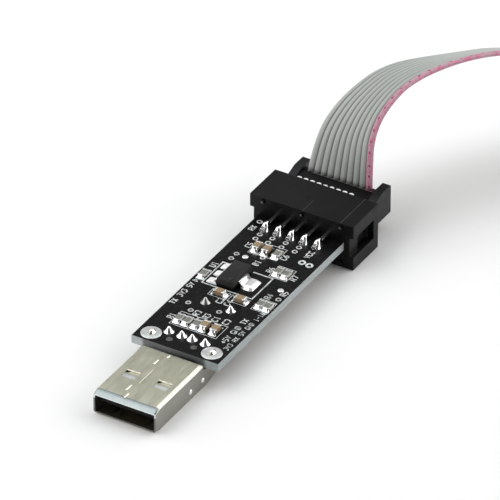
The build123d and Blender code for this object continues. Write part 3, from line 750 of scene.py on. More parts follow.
# The lead's route and the way its first core's edge faces at each of its points: up out of the
# near socket, over an arch, on edge and round beside the board into the far socket.
RIBBON_ROUTE = [
    (34.15, 0, 7.5), (35, 0, 11.5), (37, 0, 16), (41, -1, 20), (47.6, -3.5, 23), (57.1, -9.5, 23),
    (66.6, -16.5, 21.5), (77.6, -26.5, 17.5), (85.1, -39.5, 12.5), (88.1, -54, 9), (86.6, -69, 7),
    (80.6, -83, 6.5), (70.6, -94, 6.5), (57.6, -101, 6.5), (42.6, -104.5, 6.5), (27.6, -105.5, 7),
    (15.6, -105.5, 8.65), (6.6, -105.5, 8.65),
]
RIBBON_EDGE = [
    (0, -1, 0), (-0.15, -1, 0), (-0.3, -0.9, 0.15), (-0.45, -0.85, 0.25), (-0.55, -0.8, 0.35),
    (-0.35, -0.8, 0.5), (-0.55, -0.65, 0.45), (-0.25, -0.6, 0.75), (-0.2, -0.5, 0.85), (0, -0.2, 1),
] + [(0, 0, 1)] * 8


def nurbs_line(points, detail=10):
    """The points along the smooth NURBS line that has these as its control points."""
    curve = bpy.data.curves.new("line", "CURVE")
    curve.dimensions = "3D"
    spline = curve.splines.new("NURBS")
    spline.points.add(len(points) - 1)
    for point, co in zip(spline.points, points):
        point.co = (*co, 1)
    spline.order_u = 3
    spline.use_endpoint_u = True
    spline.resolution_u = detail
    holder = put("line", curve)
    mesh = bpy.data.meshes.new_from_object(holder)
    line = [v.co.copy() for v in mesh.vertices]
    bpy.data.objects.remove(holder)
    bpy.data.meshes.remove(mesh)
    bpy.data.curves.remove(curve)
    return line


def core_profile():
    """The ribbon's outline across its width: offsets from the middle and half heights, by core."""
    steps = (-0.635, -0.6, -0.54, -0.42, -0.26, -0.09, 0.09, 0.26, 0.42, 0.54, 0.6)
    rows = []
    for core in range(CORES):
        for step in steps:
            rise = RIBBON_HALF * sqrt(max(0.0, 1 - (abs(step) / 0.615) ** 2.05))
            outside = (core == 0 and step < -0.53) or (core == CORES - 1 and step > 0.53)
            floor = 0.02 if outside else WEB
            rows.append(((core - (CORES - 1) / 2) * CORE_PITCH + step, max(floor, rise), core, step))
    last = (CORES - 1) / 2 * CORE_PITCH + 0.632
    rows.append((last, 0.02, CORES - 1, 0.632))
    return rows


def ribbon_strip(name, line, edges, replaces):
    """The ribbed flat cable along a line, its first core towards the edge directions."""
    rows = core_profile()
    bm = bmesh.new()
    uv = bm.loops.layers.uv.new("run")
    travelled = 0.0
    rings = []
    runs = []
    for i, point in enumerate(line):
        before, after = line[max(i - 1, 0)], line[min(i + 1, len(line) - 1)]
        along = (after - before).normalized()
        side = (edges[i] - along * edges[i].dot(along)).normalized()
        normal = along.cross(side)
        if i:
            travelled += (point - line[i - 1]).length
        runs.append(travelled)
        over = [point - side * offset + normal * rise for offset, rise, _, _ in rows]
        back = [point - side * offset - normal * rise for offset, rise, _, _ in rows[::-1]]
        rings.append([bm.verts.new(co) for co in over + back])
    across = [(core, step) for _, _, core, step in rows + rows[::-1]]
    count = len(rings[0])
    for i, (a, b) in enumerate(zip(rings, rings[1:])):
        for k in range(count):
            m = (k + 1) % count
            face = bm.faces.new((a[k], a[m], b[m], b[k]))
            face.smooth = True
            core = min(across[k][0], across[m][0])
            face.material_index = 1 if core == 0 else 0
            spots = ((runs[i], k), (runs[i], m), (runs[i + 1], m), (runs[i + 1], k))
            for loop, (run, which) in zip(face.loops, spots):
                offset = across[which][1] + (CORE_PITCH if across[which][0] != core else 0)
                loop[uv].uv = (run, 0.5 - offset / CORE_PITCH + core)
    half = len(rows)
    for ring in (rings[0], rings[-1]):
        for k in range(half - 1):
            face = bm.faces.new((ring[k], ring[k + 1], ring[count - 2 - k], ring[count - 1 - k]))
            face.material_index = 1 if rows[k + 1][2] == 0 else 0
    return place_piece(name, bm, [GREY, PINK], "ribbon_grey", replaces, "lead")


def lead_ribbon():
    centre = nurbs_line(RIBBON_ROUTE)
    ribbon = ribbon_strip("ribbon_lead", centre, nurbs_line(RIBBON_EDGE), ["ribbon_cable"])
    return ribbon, [point * MM for point in centre]


RIBBON, RIBBON_LINE = lead_ribbon()


# ---- both sockets ----
NEAR_FACE = spot("near_socket_body")[0].x
NEAR_CAP = sum(spot("near_socket_cap"), Vector()) / 2
FAR_CAP = sum(spot("far_socket_cap"), Vector()) / 2
FAR_FACE = spot("far_socket_body")[1].y
SOCKETS = {
    "near": Matrix.Translation((NEAR_FACE, 0, NEAR_CAP.z)),
    "far": Matrix(((0, 0, 1, FAR_CAP.x), (-1, 0, 0, FAR_FACE), (0, -1, 0, FAR_CAP.z), (0, 0, 0, 1))),
}
FOLD_FRONT = 6.35
FOLD_REAR = 10.35
FOLD_TOP = 3.95
FOLD_LOW = -3.5
FOLD_RADIUS = 1.25


def ribbon_fold(which):
    """The ribbon's clamped end: down through the socket, round the cap and up behind it."""
    place = SOCKETS[which]
    bend = FOLD_LOW + FOLD_RADIUS
    run = [(FOLD_FRONT, FOLD_TOP - 0.55 - 0.4 * step) for step in range(15)]
    run = [point for point in run if point[1] > bend + 0.1]
    for step in range(7):
        a = radians(180 + 15 * step)
        run.append((FOLD_FRONT + FOLD_RADIUS + FOLD_RADIUS * cos(a), bend + FOLD_RADIUS * sin(a)))
    for step in range(7):
        a = radians(270 + 15 * step)
        run.append((FOLD_REAR - FOLD_RADIUS + FOLD_RADIUS * cos(a), bend + FOLD_RADIUS * sin(a)))
    run += [(FOLD_REAR, bend + 0.44 * step) for step in range(1, 13)]
    line = [place @ Vector((x, 0, z)) for x, z in run]
    side = place.to_3x3() @ Vector((0, -1, 0))
    piece = ribbon_strip(f"{which}_ribbon_end", line, [side] * len(line), [f"{which}_ribbon_fold"])
    # the cores' cut ends, domed, in the whitish finish that paints their highlight
    bm = bmesh.new()
    for core in range(1, CORES):
        y = (core - (CORES - 1) / 2) * CORE_PITCH
        at = place @ Matrix.Translation((FOLD_FRONT, y, FOLD_TOP - 0.14))
        wobble = 0.05 * noise.noise((core * 3.1, 0.4, 0.2))
        profile = [(0.5, -0.45), (0.52, 0.06), (0.5, 0.13 + wobble), (0.42, 0.17 + wobble),
                   (0.1, 0.18 + wobble)]
        turned(bm, profile, (0, 0, 0), 0, 24, at, (0.86, 0.94))
    ends = place_piece(f"{which}_cut_ends", bm, [CUT_END_HIGHLIGHT], "ribbon_grey", body="lead")
    return [piece, ends]


def socket_pieces(which):
    """One socket: its moulded pieces with their edges broken, its contacts and its folded ribbon."""
    along = Vector((0, 1, 0) if which == "near" else (0, 0, 1))
    middle = sum(spot(f"{which}_socket_body"), Vector()).dot(along) / 2
    columns = [middle + step * PITCH for step in COLUMNS]
    return [
        dressed(f"{which}_socket_body", f"{which}_socket_shell", 0.12, [PBT], "socket_plastic", "lead",
                cuts=columns, along=along),
        dressed(f"{which}_socket_cap", f"{which}_cap", 0.14, [PBT], "socket_plastic", "lead"),
        dressed(f"{which}_strain_relief", f"{which}_relief", 0.16, [CLIP], "relief_plastic", "lead"),
        dress_plain(f"{which}_socket_contacts", GOLD),
        *ribbon_fold(which),
    ]


socket_pieces("near")
FAR_PIECES = socket_pieces("far")
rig.cord(RIBBON, exit=RIBBON_LINE[0], length=0.2, diameter=RIBBON_WIDTH * MM, far_end="connector",
        stiffness="limp", lay="loose", path=RIBBON_LINE, with_pieces=FAR_PIECES)


# ---- the board ----
def board_face(face):
    """The resist on the two faces, laminate round the outside, plating in the holes."""
    if abs(face.normal.z) > 0.5:
        return 0
    middle = face.calc_center_median()
    outside = abs(middle.x - BOARD_LOW.x) < 0.05 or abs(middle.x - BOARD_HIGH.x) < 0.05
    outside = outside or abs(abs(middle.y) - BOARD_HIGH.y) < 0.05
    return 1 if outside else 2


dressed("circuit_board", "board", 0.06, [MASK, EDGE, COPPER], "board", pick=board_face, least=5.0,
        segments=2)

# Each character's strokes, as places on a grid four wide and six high.
GLYPHS = {
    "0": "1030424521162514120110", "1": "152620|1030", "2": "0516364542200040",
    "3": "06462334423120100001", "4": "30360242", "5": "460603334231201000",
    "6": "36140201103041423303", "7": "064620", "8": "1304051636454433130201011030414233",
    "9": "4313040516364541301001", "R": "00063645443303|2340", "C": "4536160501103041",
    "G": "45361605011030414222", "N": "00064046", "D": "0006264541262000", "V": "062046",
    "T": "0646|2620", "X": "0046|0640", "U": "060110304146", "+": "2125|0343", "-": "0343",
    "Y": "062346|2320",
}


class Legend:
    """White printing on one face of the board, gathered as lines and written as one flat piece."""

    def __init__(self):
        self.curve = bpy.data.curves.new("legend", "CURVE")
        self.curve.dimensions = "3D"
        self.curve.bevel_depth = 0.1 * MM
        self.curve.bevel_resolution = 1
        self.curve.use_fill_caps = True

    def line(self, points, closed=False, weight=1.0):
        spline = self.curve.splines.new("POLY")
        spline.points.add(len(points) - 1)
        for point, (along, across) in zip(spline.points, points):
            point.co = ((BOARD_LOW.x + along) * MM, across * MM, 0, 1)
            point.radius = weight
        spline.use_cyclic_u = closed

    def frame(self, along, across, weight=1.0):
        (a, b), (c, d) = along, across
        self.line([(a, c), (b, c), (b, d), (a, d)], True, weight)

    def ring(self, along, across, radius, weight=1.0):
        angles = [2 * pi * i / 20 for i in range(20)]
        self.line([(along + radius * cos(a), across + radius * sin(a)) for a in angles], True, weight)

    def text(self, words, along, across, height=1.05, width=0.8, weight=1.0):
        """Words centred on a place, reading along the board."""
        unit = height / 6
        gap = 1.7 * unit * width
        step = 5.7 * unit * width
        start = along - (step * len(words) - gap) / 2
        for place, letter in enumerate(words):
            for stroke in GLYPHS[letter].split("|") if letter != " " else ():
                points = [(int(x), int(y)) for x, y in zip(stroke[::2], stroke[1::2])]
                self.line([(start + place * step + x * unit * width, across + (y - 3) * unit)
                           for x, y in points], weight=weight)

    def write(self, name, z, up):
        holder = put("legend", self.curve)
        mesh = bpy.data.meshes.new_from_object(holder)
        bpy.data.objects.remove(holder)
        bm = bmesh.new()
        bm.from_mesh(mesh)
        bmesh.ops.scale(bm, vec=(1 / MM, 1 / MM, 0.18 / MM), verts=bm.verts)
        bmesh.ops.translate(bm, vec=(0, 0, z + up * 0.004), verts=bm.verts)
        for face in bm.faces:
            face.smooth = False
        place_piece(name, bm, [INK], "light_base")


def top_legend():
    legend = Legend()
    # outlines round the chips, from the plug to the header
    for along, across in (
        ((6.15, 10.1), (1.45, 4.75)), ((6.15, 10.1), (-0.3, 1.25)), ((6.15, 10.1), (-4.25, -0.45)),
        ((30.75, 34.4), (2.4, 4.15)), ((30.95, 34.6), (-1.35, 2.25)), ((26.45, 29.95), (-5.85, -4.3)),
        ((26.45, 29.95), (-4.15, -2.5)), ((16.65, 20.1), (-6.35, -4.8)), ((16.65, 20.1), (-7.85, -6.5)),
        ((16.7, 18.6), (0.2, 3.6)), ((16.7, 18.6), (-3.6, -0.2)), ((19.6, 22.9), (6.6, 7.75)),
    ):
        legend.frame(along, across, 0.8)
    # the regulator's outline, open where its body hides it
    legend.line([(26.1, 4.0), (26.1, 6.2), (19.15, 6.2), (19.15, -3.55), (26.1, -3.55), (26.1, 0.3)],
                weight=1.7)
    for words, along, across in (
        ("R1", 8.15, 5.5), ("R2", 10.95, 2.2), ("R3", 11.0, 0.35), ("C1", 11.05, -1.35),
        ("C2", 11.2, -3.35), ("C3", 16.05, 0.8), ("C4", 16.1, -0.75), ("R4", 21.2, -5.6),
        ("R5", 23.2, -7.45), ("R6", 28.1, -1.9), ("R7", 28.0, -6.55), ("C5", 32.7, 4.95),
        ("R8", 33.3, -0.45), ("C6", 32.5, -2.05), ("D1", 28.75, 1.15), ("U1", 24.7, 7.15),
    ):
        legend.text(words, along, across, weight=1.1)
    for across in (5.05, 2.6, 0.0, -2.6):
        for along in (34.9, 36.35):
            legend.ring(along, across, 0.4, 1.1)
    legend.text("VCC", 35.4, -5.2, 1.0, 0.8, 1.05)
    legend.text("RX", 37.4, 7.1, 1.0, 0.8, 1.0)
    legend.ring(39.6, 7.0, 0.42, 1.1)
    legend.text("TX", 12.0, 7.4, 1.0, 0.8, 1.1)
    legend.text("3V3 5V", 16.0, 7.4, 1.0, 0.8, 1.1)
    legend.line([(18.9, 7.85), (18.9, 6.95), (19.45, 7.4)], True, 1.5)
    legend.text("+5V GND TX", 9.6, -5.85, 1.0, 0.85, 0.9)
    legend.text("3V3 RX 5V GND 1-10", 10.4, -7.25, 0.85, 0.86, 0.75)
    legend.ring(32.75, -5.3, 0.5, 1.9)
    legend.ring(32.6, -6.8, 0.5, 1.9)
    legend.write("top_legend", TOP, 1)


def under_legend():
    legend = Legend()
    legend.frame((19.2, 28.8), (-4.9, 4.9), 1.0)
    legend.ring(19.9, 5.6, 0.3, 1.4)
    legend.frame((13.0, 15.8), (-6.2, 6.6), 0.9)
    for words, along, across in (("U2", 24.0, 6.2), ("Y1", 11.9, 4.4), ("D2", 8.6, 3.6), ("D3", 8.6, -3.6),
                                 ("C7", 31.0, 7.3), ("C8", 31.0, -7.3), ("C9", 12.4, 6.9)):
        legend.text(words, along, across)
    legend.write("under_legend", UNDER, -1)


top_legend()
under_legend()

# Plated vias: rings with an open hole, and a few filled with solder.
OPEN_VIAS = ((12.9, 5.1), (11.2, 3.6), (13.15, -0.75), (27.8, 5.6), (29.4, 5.5), (21.3, -7.4), (30.6, 1.1))
FILLED_VIAS = ((29.3, 3.75), (23.75, -6.4))


def vias():
    bm = bmesh.new()
    profile = ((0.21, -0.3), (0.25, 0.0), (0.3, 0.035), (0.4, 0.04), (0.49, 0.03), (0.52, -0.01))
    angles = [pi * i / 14 for i in range(28)]
    for along, across in OPEN_VIAS:
        x = BOARD_LOW.x + along
        for z, way in ((TOP, 1), (UNDER, -1)):
            rings = [[(x + radius * cos(a), across + radius * sin(a), z + way * rise) for a in angles]
                     for radius, rise in profile]
            skin(bm, rings, 1, (False, False))
    for along, across in FILLED_VIAS:
        turned(bm, [(0.55, -0.01), (0.53, 0.05), (0.44, 0.1), (0.25, 0.14), (0.03, 0.15)],
               (BOARD_LOW.x + along, across, TOP))
    place_piece("vias", bm, [FLOWED, RING], "solder")


vias()


# ---- chips ----
def chip_solder_end(bm, place, width, height, reach):
    """The hollow fillet that solder draws from a pad up the end of a chip."""
    def at(share, s):
        drop = max(0.0, 1 - abs(s) ** 5)
        x = reach * share ** 0.9 * (1 - 0.28 * share * s * s)
        half = width / 2 * (1 + 0.18 * share)
        z = height * (1 - share) ** 2.1
        return x, half * s, 0.01 + (z * drop + 0.05 * (1 - share) * drop)

    sheet(bm, 8, 10, at, 1, place)


def chips():
    """Every chip: body, wrapped metal ends and their solder, on whichever face its CAD solid is on."""
    bodies = bmesh.new()
    metal = bmesh.new()
    # the metal's reach past a body, its overlap on it, its extra thickness, and the solder below
    wrap, lap, grown, lift = 0.35, 0.06, 0.02, 0.05
    groups = (("resistor_bodies", False), ("capacitor_bodies", True), ("under_capacitor_bodies", True))
    for node, capacitor in groups:
        for low, high in islands(node):
            centre = (low + high) / 2
            size = high - low
            up = centre.z > (TOP + UNDER) / 2
            height = size.z
            half, wide = max(size.x, size.y) / 2, min(size.x, size.y) / 2
            turn = Matrix() if size.x > size.y else spin(90)
            flip = Matrix() if up else spin(180, "X")
            lean = spin(3.0 * noise.noise((centre.x, centre.y, 1.7)))
            place = Matrix.Translation((centre.x, centre.y, TOP if up else UNDER)) @ flip @ turn @ lean
            along, across = (-half - lap, half + lap), (-wide, wide)
            if capacitor:
                rounded_block(bodies, along, across, (lift, lift + height), 0.1, 2, place)
            else:
                rounded_block(bodies, along, across, (lift, height - 0.03), 0.05, 0, place)
                inner = (-wide + 0.05, wide - 0.05)
                rounded_block(bodies, (-half, half), inner, (height - lift, height + lift), 0.03, 1, place)
            for side in (0, 180):
                end = place @ spin(side)
                rounded_block(metal, (half - lap, half + wrap), (-wide - grown, wide + grown),
                              (0.03, lift + height + grown), 0.12 if capacitor else 0.07, 0, end)
                toe = end @ Matrix.Translation((half + wrap - grown, 0, 0))
                chip_solder_end(metal, toe, 2 * wide + 0.06, height * 0.95 + 0.04, 0.55)
    place_piece("chip_bodies", bodies, [ALUMINA, GLAZE, TITANATE], "capacitor_ceramic",
                ["resistor_bodies", "capacitor_bodies", "under_capacitor_bodies"])
    place_piece("chip_ends", metal, [TIN, SOLDER], "solder", ["chip_metal_ends", "chip_solder"])


chips()


# ---- the regulator, the microcontroller, the crystal and the lights ----
def regulator():
    """Its moulded body with a dimple, three leads, the wide tab, and the solder on them."""
    low, high = spot("regulator_body")
    bm = bmesh.new()
    middle = (low.z + high.z) / 2 - 0.15
    rings = []
    for inset, z, corner in ((0.22, low.z, 0.1), (0.14, low.z + 0.04, 0.12), (0.02, middle - 0.05, 0.14),
                             (0.0, middle, 0.14), (0.02, middle + 0.05, 0.14), (0.2, high.z - 0.1, 0.16),
                             (0.24, high.z - 0.03, 0.14), (0.32, high.z, 0.1)):
        x, y = (low.x + inset, high.x - inset), (low.y + inset, high.y - inset)
        rings.append(rounded_ring(x, y, corner, z))
    skin(bm, rings)
    mark = (low.x + 0.85, low.y + 0.85, high.z + 0.004)
    turned(bm, [(0.42, 0.0), (0.4, -0.03), (0.3, -0.035)], mark, 0, 24)
    place_piece("regulator_case", bm, [EPOXY], "package_plastic", ["regulator_body"])

    bm = bmesh.new()
    joints = bmesh.new()
    path = ((1.55, 0.92), (2.0, 0.92), (2.35, 0.34), (2.6, 0.22), (3.45, 0.2))
    centre = Vector(((low.x + high.x) / 2, (low.y + high.y) / 2, TOP))
    lead_pitch, thickness = 2.3, 0.26
    for step in (-lead_pitch, 0.0, lead_pitch):
        place = Matrix.Translation(centre + Vector((step, 0, 0))) @ spin(90)
        bent_strip(bm, path, 1.0, thickness, 0, place)
        solder_foot(joints, place, 1.25, 3.75, 1.42, 0.46, 1.05)
    place = Matrix.Translation(centre) @ spin(-90)
    bent_strip(bm, path, 3.0, thickness, 1, place)
    solder_foot(joints, place, 2.1, 4.5, 3.6, 0.55, 2.0, 1)
    place_piece("regulator_metal", bm, [LEAD, TIN], "contact_metal", ["regulator_leads"])
    place_piece("regulator_joints", joints, [LEAD, FLOWED], "solder", ["regulator_solder"])


def solder_foot(bm, place, start, end, width, height, flat, index=0):
    """A pad's solder, swelling over a flat lead between two places along it."""
    def at(share, s):
        swell = max(0.0, 1 - abs(2 * share - 1) ** 3.2)
        half = width / 2 * (0.82 + 0.18 * swell)
        inner = max(0.0, (abs(s) * half - flat * 0.5) / max(half - flat * 0.5, 0.05))
        z = height * swell ** 0.8 * max(0.0, 1 - inner ** 1.6)
        return start + (end - start) * share, half * s, 0.012 + z

    sheet(bm, 14, 16, at, index, place)


def microcontroller():
    dressed("microcontroller_body", "microcontroller_case", 0.09, [EPOXY], "package_plastic")
    low, high = spot("microcontroller_body")
    centre = (low + high) / 2
    bm = bmesh.new()
    face = Matrix.Translation((centre.x, centre.y, UNDER)) @ spin(180, "X")
    path = ((3.4, 0.62), (3.75, 0.62), (3.95, 0.16), (4.1, 0.09), (4.5, 0.09))
    for side in range(4):
        for step in range(8):
            place = face @ spin(90 * side) @ Matrix.Translation((0, 0.8 * (step - 3.5), 0))
            bent_strip(bm, path, 0.34, 0.12, 0, place, 0.02)
            rounded_block(bm, (3.85, 4.75), (-0.24, 0.24), (0.0, 0.05), 0.02, 1, place)
    turned(bm, [(0.34, 0.0), (0.33, 0.015), (0.28, 0.02)], (-2.7, -2.7, 1.1), 2, 20, face)
    place_piece("microcontroller_metal", bm, [TIN, SOLDER, EPOXY], "contact_metal",
                ["microcontroller_leads"])


def cone(bm, centre, foot, neck, height, index=0, stretch=(0.0, 0.0), way=1):
    """A joint: solder rising to a tip with slightly hollow sides, drawn out along X by stretch."""
    profile = [(foot * 1.04, 0.0), (foot, 0.03)]
    for step in range(1, 9):
        share = step / 8
        profile.append((foot + (neck - foot) * share ** 0.9, 0.03 + (height - 0.03) * share ** 1.12))
    for share, rise in ((0.8, 0.35), (0.45, 0.6), (0.1, 0.7)):
        profile.append((neck * share, height + neck * rise))
    rings = []
    for radius, rise in profile:
        share = min(1.0, rise / height)
        front = stretch[0] * (1 - share)
        ring = []
        for step in range(40):
            a = 2 * pi * step / 40
            x = radius * cos(a) + (stretch[1] if cos(a) > 0 else -front)
            ring.append((centre[0] + x, centre[1] + radius * sin(a), centre[2] + way * rise))
        rings.append(ring)
    skin(bm, rings, index)


def crystal():
    dressed("crystal_base", "crystal_plate", 0.08, [CAN], "crystal_metal")
    dressed("crystal_can", "crystal_cap", 0.3, [CAN], "crystal_metal", least=0.1)
    bm = bmesh.new()
    for centre in middles("crystal_leads"):
        cone(bm, (centre.x, centre.y, TOP), 0.84, 0.25, 0.85, 1 if centre.y > 0 else 0)
    place_piece("crystal_joints", bm, [SOLDER, DULL], "solder", ["crystal_solder"])
    dress_plain("crystal_leads", TIN)


def status_lights():
    base = bmesh.new()
    lens = bmesh.new()
    for low, high in islands("status_light_bases"):
        rounded_block(base, (low.x, high.x), (low.y, high.y), (low.z, high.z), 0.05)
        for side in (-1, 1):
            x = (low.x + high.x) / 2 + side * 0.95
            y = (low.y + 0.08, high.y - 0.08)
            rounded_block(base, (x - 0.28, x + 0.28), y, (low.z - 0.01, UNDER), 0.04, 1)
    for low, high in islands("status_light_lenses"):
        rounded_block(lens, (low.x, high.x), (low.y + 0.03, high.y - 0.03), (low.z, high.z), 0.12)
    place_piece("lamp_bases", base, [LAMP_BASE, SOLDER], "light_base", ["status_light_bases"])
    place_piece("lamp_lenses", lens, [LAMP_RESIN], "light_lens", ["status_light_lenses"])


regulator()
microcontroller()
crystal()
status_lights()


# ---- the plug ----
MOUTH = spot("usb_shell")[0].x
PLATE_TOP = 4.5
PLUG_MIDDLE = 2.25
# How far the rolled mouth reaches back, how much of its height its upper side loses, the share of
# that which the lower side loses, and the height where the mouth's end ring becomes its upper rim.
LIP = 1.2
LIP_DRAW = 0.24
LIP_BELOW = 0.6
RIM_SPLIT = 3.2
# The latch windows: their two ends behind the mouth, how far off the middle they are, and half the
# width of the leaf in each.
WINDOW_ENDS = (6.0, 8.0)
WINDOW_OFF = 3.05
LEAF_HALF = 1.24


def lip(bm):
    """The sheet's first stretch at the mouth, rolled a little inwards."""
    for part in (1.0, 0.5):
        cut_across(bm, (MOUTH + LIP * part, 0, 0), (1, 0, 0))
    for vert in bm.verts:
        share = 1 - (vert.co.x - MOUTH) / LIP
        if share > 0.001:
            rise = vert.co.z - PLUG_MIDDLE
            vert.co.z = PLUG_MIDDLE + rise * (1 - LIP_DRAW * share ** 1.1 * (1 if rise > 0 else LIP_BELOW))
            vert.co.y *= 1 - 0.004 * share
    cut_across(bm, (0, 0, RIM_SPLIT), (0, 0, 1))


def plate_face(face):
    """Satin on top and below; painted shade on the side walls; painted shade and a painted bluish reflection on the
    rolled mouth's top; a painted highlight on its end ring's upper rim and painted shade on the lower.
    """
    middle = face.calc_center_median()
    if middle.x < MOUTH + LIP and face.normal.z > 0.5 and middle.z > 3.4:
        return 1
    # the mouth's end ring: a painted highlight on its upper rim, painted shade on its lower
    if face.normal.x < -0.8 and middle.x < MOUTH + 0.4:
        return 4 if middle.z > RIM_SPLIT else 3
    # painted shade: the side walls take a darker copy of the plate
    return 2 if abs(face.normal.y) > 0.9 else 0


def seam_line(bm, start, end, across, half, rise):
    """A low ridge along the sheet's meeting edges, between two distances from the mouth, painted bright as a painted
    highlight.
    """
    rings = []
    count = 6
    for step in range(count + 1):
        share = step / count
        swell = max(0.12, 1 - abs(2 * share - 1) ** 4)
        x = MOUTH + start + (end - start) * share
        rings.append([(x, across + half * s, PLATE_TOP - 0.02 + (rise + 0.02) * h * swell)
                      for s, h in ((-1.0, 0.0), (-0.7, 0.6), (0.0, 1.0), (0.7, 0.6), (1.0, 0.0))])
    skin(bm, rings, 4)


def plug_details():
    """The seam's visible keys and the windows' rear ridges, with a painted highlight; the leaves in the latch windows,
    with a painted highlight on their sloping fronts; the dimples, in bright tin as a painted highlight; and the peg
    ends, with a painted glow.
    """
    bm = bmesh.new()
    for start, end, across in ((0.95, 2.5, 0.6), (2.9, 4.7, 1.45), (11.6, 13.2, 1.35), (14.2, 15.3, 0.35)):
        seam_line(bm, start, end, across, 0.2, 0.11)
    seam_line(bm, 5.1, 10.9, 0.62, 0.07, 0.03)
    window, rear = MOUTH + WINDOW_ENDS[0], MOUTH + WINDOW_ENDS[1]
    # each leaf's sloping front and its flat rear, from places along it, heights and a cut corner
    front = ((0.01, 4.47, 0), (1.12, 4.28, 0))
    flat = ((1.1, 4.28, 0), (1.45, 4.28, 0), (1.96, 4.28, 0.7))
    for side in (-1, 1):
        y = (side * WINDOW_OFF - LEAF_HALF, side * WINDOW_OFF + LEAF_HALF)
        # painted highlight: each leaf's sloping front takes the pale bluish copy of the plate, and its flat rear takes
        # the plate
        for index, run in ((2, front), (0, flat)):
            rings = [[(window + along, y[0], z), (window + along, y[1] - corner, z),
                      (window + along, y[1] - corner, z - 0.12), (window + along, y[0], z - 0.12)]
                     for along, z, corner in run]
            skin(bm, rings, index, smooth=False)
        # the window's rear ridge, painted bright as a painted highlight
        ridge = [(rear + 0.02, 4.49), (rear + 0.1, 4.56), (rear + 0.2, 4.55), (rear + 0.28, 4.49)]
        skin(bm, [[(x, across, z) for x, z in ridge] for across in (y[0] + 0.05, y[1] + 0.1)], 4)
    for side in (-1, 1):
        wall = Matrix.Translation((0, side * 6.0, 0)) @ spin(-90 * side, "X")
        # painted highlight: the dimples take the bright flowed tin rather than the plate
        for along in (11.1, 15.0):
            dome = [(0.5, -0.02), (0.46, 0.05), (0.36, 0.15), (0.22, 0.21), (0.03, 0.23)]
            turned(bm, dome, (MOUTH + along, -side * 1.8, 0), 1, 28, wall)
        # the peg ends, with a painted glow
        peg = [(0.6, 0.0), (0.56, 0.06), (0.35, 0.09), (0.05, 0.1)]
        turned(bm, peg, (BOARD_LOW.x + 2.2, side * 2.35, TOP - 0.1), 3, 28)
    place_piece("plug_details", bm, [PLATE, FLOWED, BLUE_LIT_PLATE, PEG_PAINTED_GLOW, LIT_RIDGE], "plug_shell")


def plug_joints():
    bm = bmesh.new()
    for centre in middles("usb_contact_solder"):
        cone(bm, (centre.x, centre.y, TOP), 0.88, 0.25, 0.88)
    for centre in middles("usb_shield_solder"):
        turned(bm, [(1.82, -0.01), (1.8, 0.05), (1.7, 0.09), (1.2, 0.11), (0.9, 0.14)],
               (centre.x, centre.y, TOP), 1, 48)
        turned(bm, [(1.0, 0.1), (0.86, 0.16), (0.66, 0.34), (0.46, 0.52), (0.25, 0.62), (0.05, 0.65)],
               (centre.x + 0.1, centre.y, TOP), 0, 36, stretch=(1.0, 0.72))
    place_piece("plug_joints", bm, [SOLDER, PAD], "solder",
                ["usb_contact_solder", "usb_shield_solder"])


def plug():
    dressed("usb_shell", "plug_shell", 0.05, [PLATE, SHADED_MOUTH_PLATE, SHADED_SIDE_PLATE, SHADED_RIM, BLUE_LIT_PLATE], "plug_shell",
            pick=plate_face, shape=lip, least=0.15, segments=2, angle=40,
            cuts=[MOUTH + end for end in WINDOW_ENDS])
    dressed("usb_insulator", "plug_insulator", 0.1, [INSULATOR], "plug_insulator")
    dress_plain("usb_contacts", GOLD)
    plug_details()
    plug_joints()


plug()


# ---- the header ----
def header():
    """The shroud, its pins and their joints, and pale domes on the nubs of its board side, painted lighter as a
    painted highlight.
    """
    dressed("header_housing", "header_shroud", 0.13, [NYLON], "header_plastic", least=0.35,
            cuts=[step * PITCH for step in COLUMNS], along=(0, 1, 0))
    dressed("header_pins", "header_pin_bars", 0.07, [PIN], "pin_metal")
    bm = bmesh.new()
    joint_middle = 1.75
    for low, high in islands("header_solder"):
        way = 1 if low.z > (TOP + UNDER) / 2 else -1
        centre = (low.x + joint_middle, (low.y + high.y) / 2, TOP if way > 0 else UNDER)
        cone(bm, centre, 0.8, 0.45, 1.0, 0, (0.5, 0.5), way)
    place_piece("header_joints", bm, [JOINT], "solder", ["header_solder"])
    bm = bmesh.new()
    low, high = spot("header_housing")
    # pale domes on the nubs: a painted highlight
    nub_places = (-7.6, 0, 7.6)
    for across in nub_places:
        wall = Matrix.Translation((low.x - 0.02, across, high.z - 0.9)) @ spin(-90, "Y")
        turned(bm, [(0.24, -0.05), (0.22, 0.0), (0.13, 0.05), (0.03, 0.06)], (0, 0, 0), 0, 20, wall)
    place_piece("nub_glints", bm, [PEG_PAINTED_GLOW], "header_plastic")


header()


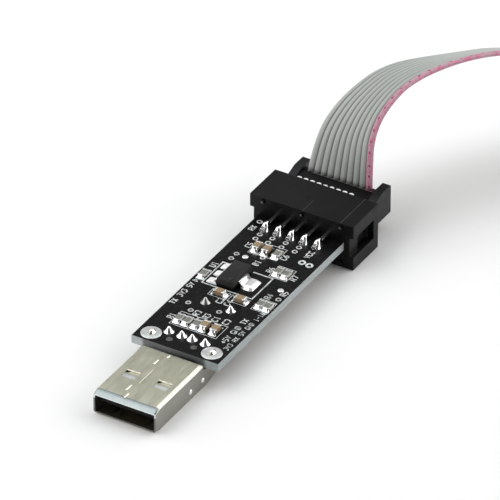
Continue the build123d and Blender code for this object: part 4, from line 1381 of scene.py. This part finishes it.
# ---- the floor and the light ----
def floor():
    """A wide sheet of white paper, just below what the object rests on."""
    bm = bmesh.new()
    half, z = 3000.0, -0.02
    skin(bm, [[(-half, y, z), (half, y, z)] for y in (-half, half)], 0, (False, False), closed=False)
    bmesh.ops.scale(bm, vec=(MM, MM, MM), verts=bm.verts)
    mesh = bpy.data.meshes.new("floor")
    bm.to_mesh(mesh)
    bm.free()
    p = Paint("floor_paper", Specular_IOR_Level=0.1)
    p.colour(p.ramp(p.noise(30, 4), (0.3, (0.86, 0.86, 0.86)), (0.7, (0.88, 0.88, 0.88))))
    p.rough(0.85, 0.95, 60)
    mesh.materials.append(p.material)
    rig.stage(put("floor", mesh))


def soft_box(name, azimuth, elevation, distance, size, glow, colour=(1, 1, 1)):
    """A soft rectangular light at a direction from the object, glow being its own brightness."""
    data = bpy.data.lights.new(name, "AREA")
    data.shape = "RECTANGLE"
    data.size, data.size_y = size
    data.energy = glow * pi * size[0] * size[1]
    data.color = colour
    light = put(name, data)
    back = toward(azimuth, elevation)
    light.location = TARGET * MM + back * distance
    light.rotation_mode = "QUATERNION"
    light.rotation_quaternion = facing(back)
    light.visible_camera = False


def lights():
    """A light tent: bright at both sides, above and behind, and dark where the camera stands."""
    world = bpy.data.worlds.new("studio")
    world.use_nodes = True
    background = world.node_tree.nodes["Background"]
    background.inputs["Color"].default_value = (0.97, 0.98, 1.0, 1)
    background.inputs["Strength"].default_value = 0.1
    SCENE.world = world
    soft_box("right_box", CAMERA_AZIMUTH + 98, 26, 1.0, (1.5, 0.9), 2.4, (1.0, 0.98, 0.945))
    soft_box("left_box", CAMERA_AZIMUTH - 90, 34, 1.0, (1.6, 1.3), 1.85, (1.0, 0.985, 0.955))
    soft_box("top_box", CAMERA_AZIMUTH + 180, 73, 0.9, (1.2, 0.75), 1.5, (0.9, 0.97, 1.0))
    soft_box("back_box", CAMERA_AZIMUTH + 180, 38, 1.1, (1.3, 0.48), 0.33, (1.0, 0.98, 0.89))
    soft_box("low_box", CAMERA_AZIMUTH + 180, 9, 1.3, (2.0, 0.42), 1.1)
    soft_box("front_box", CAMERA_AZIMUTH, 7, 1.5, (1.6, 0.35), 2.0)


floor()
lights()
SCENE.view_settings.view_transform = "Standard"

SHOWN_LOW, SHOWN_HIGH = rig.bounds()
with open("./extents.json", "w") as out:
    json.dump({"cad": [list(CAD_LOW), list(CAD_HIGH)], "shown": [list(SHOWN_LOW), list(SHOWN_HIGH)]}, out)
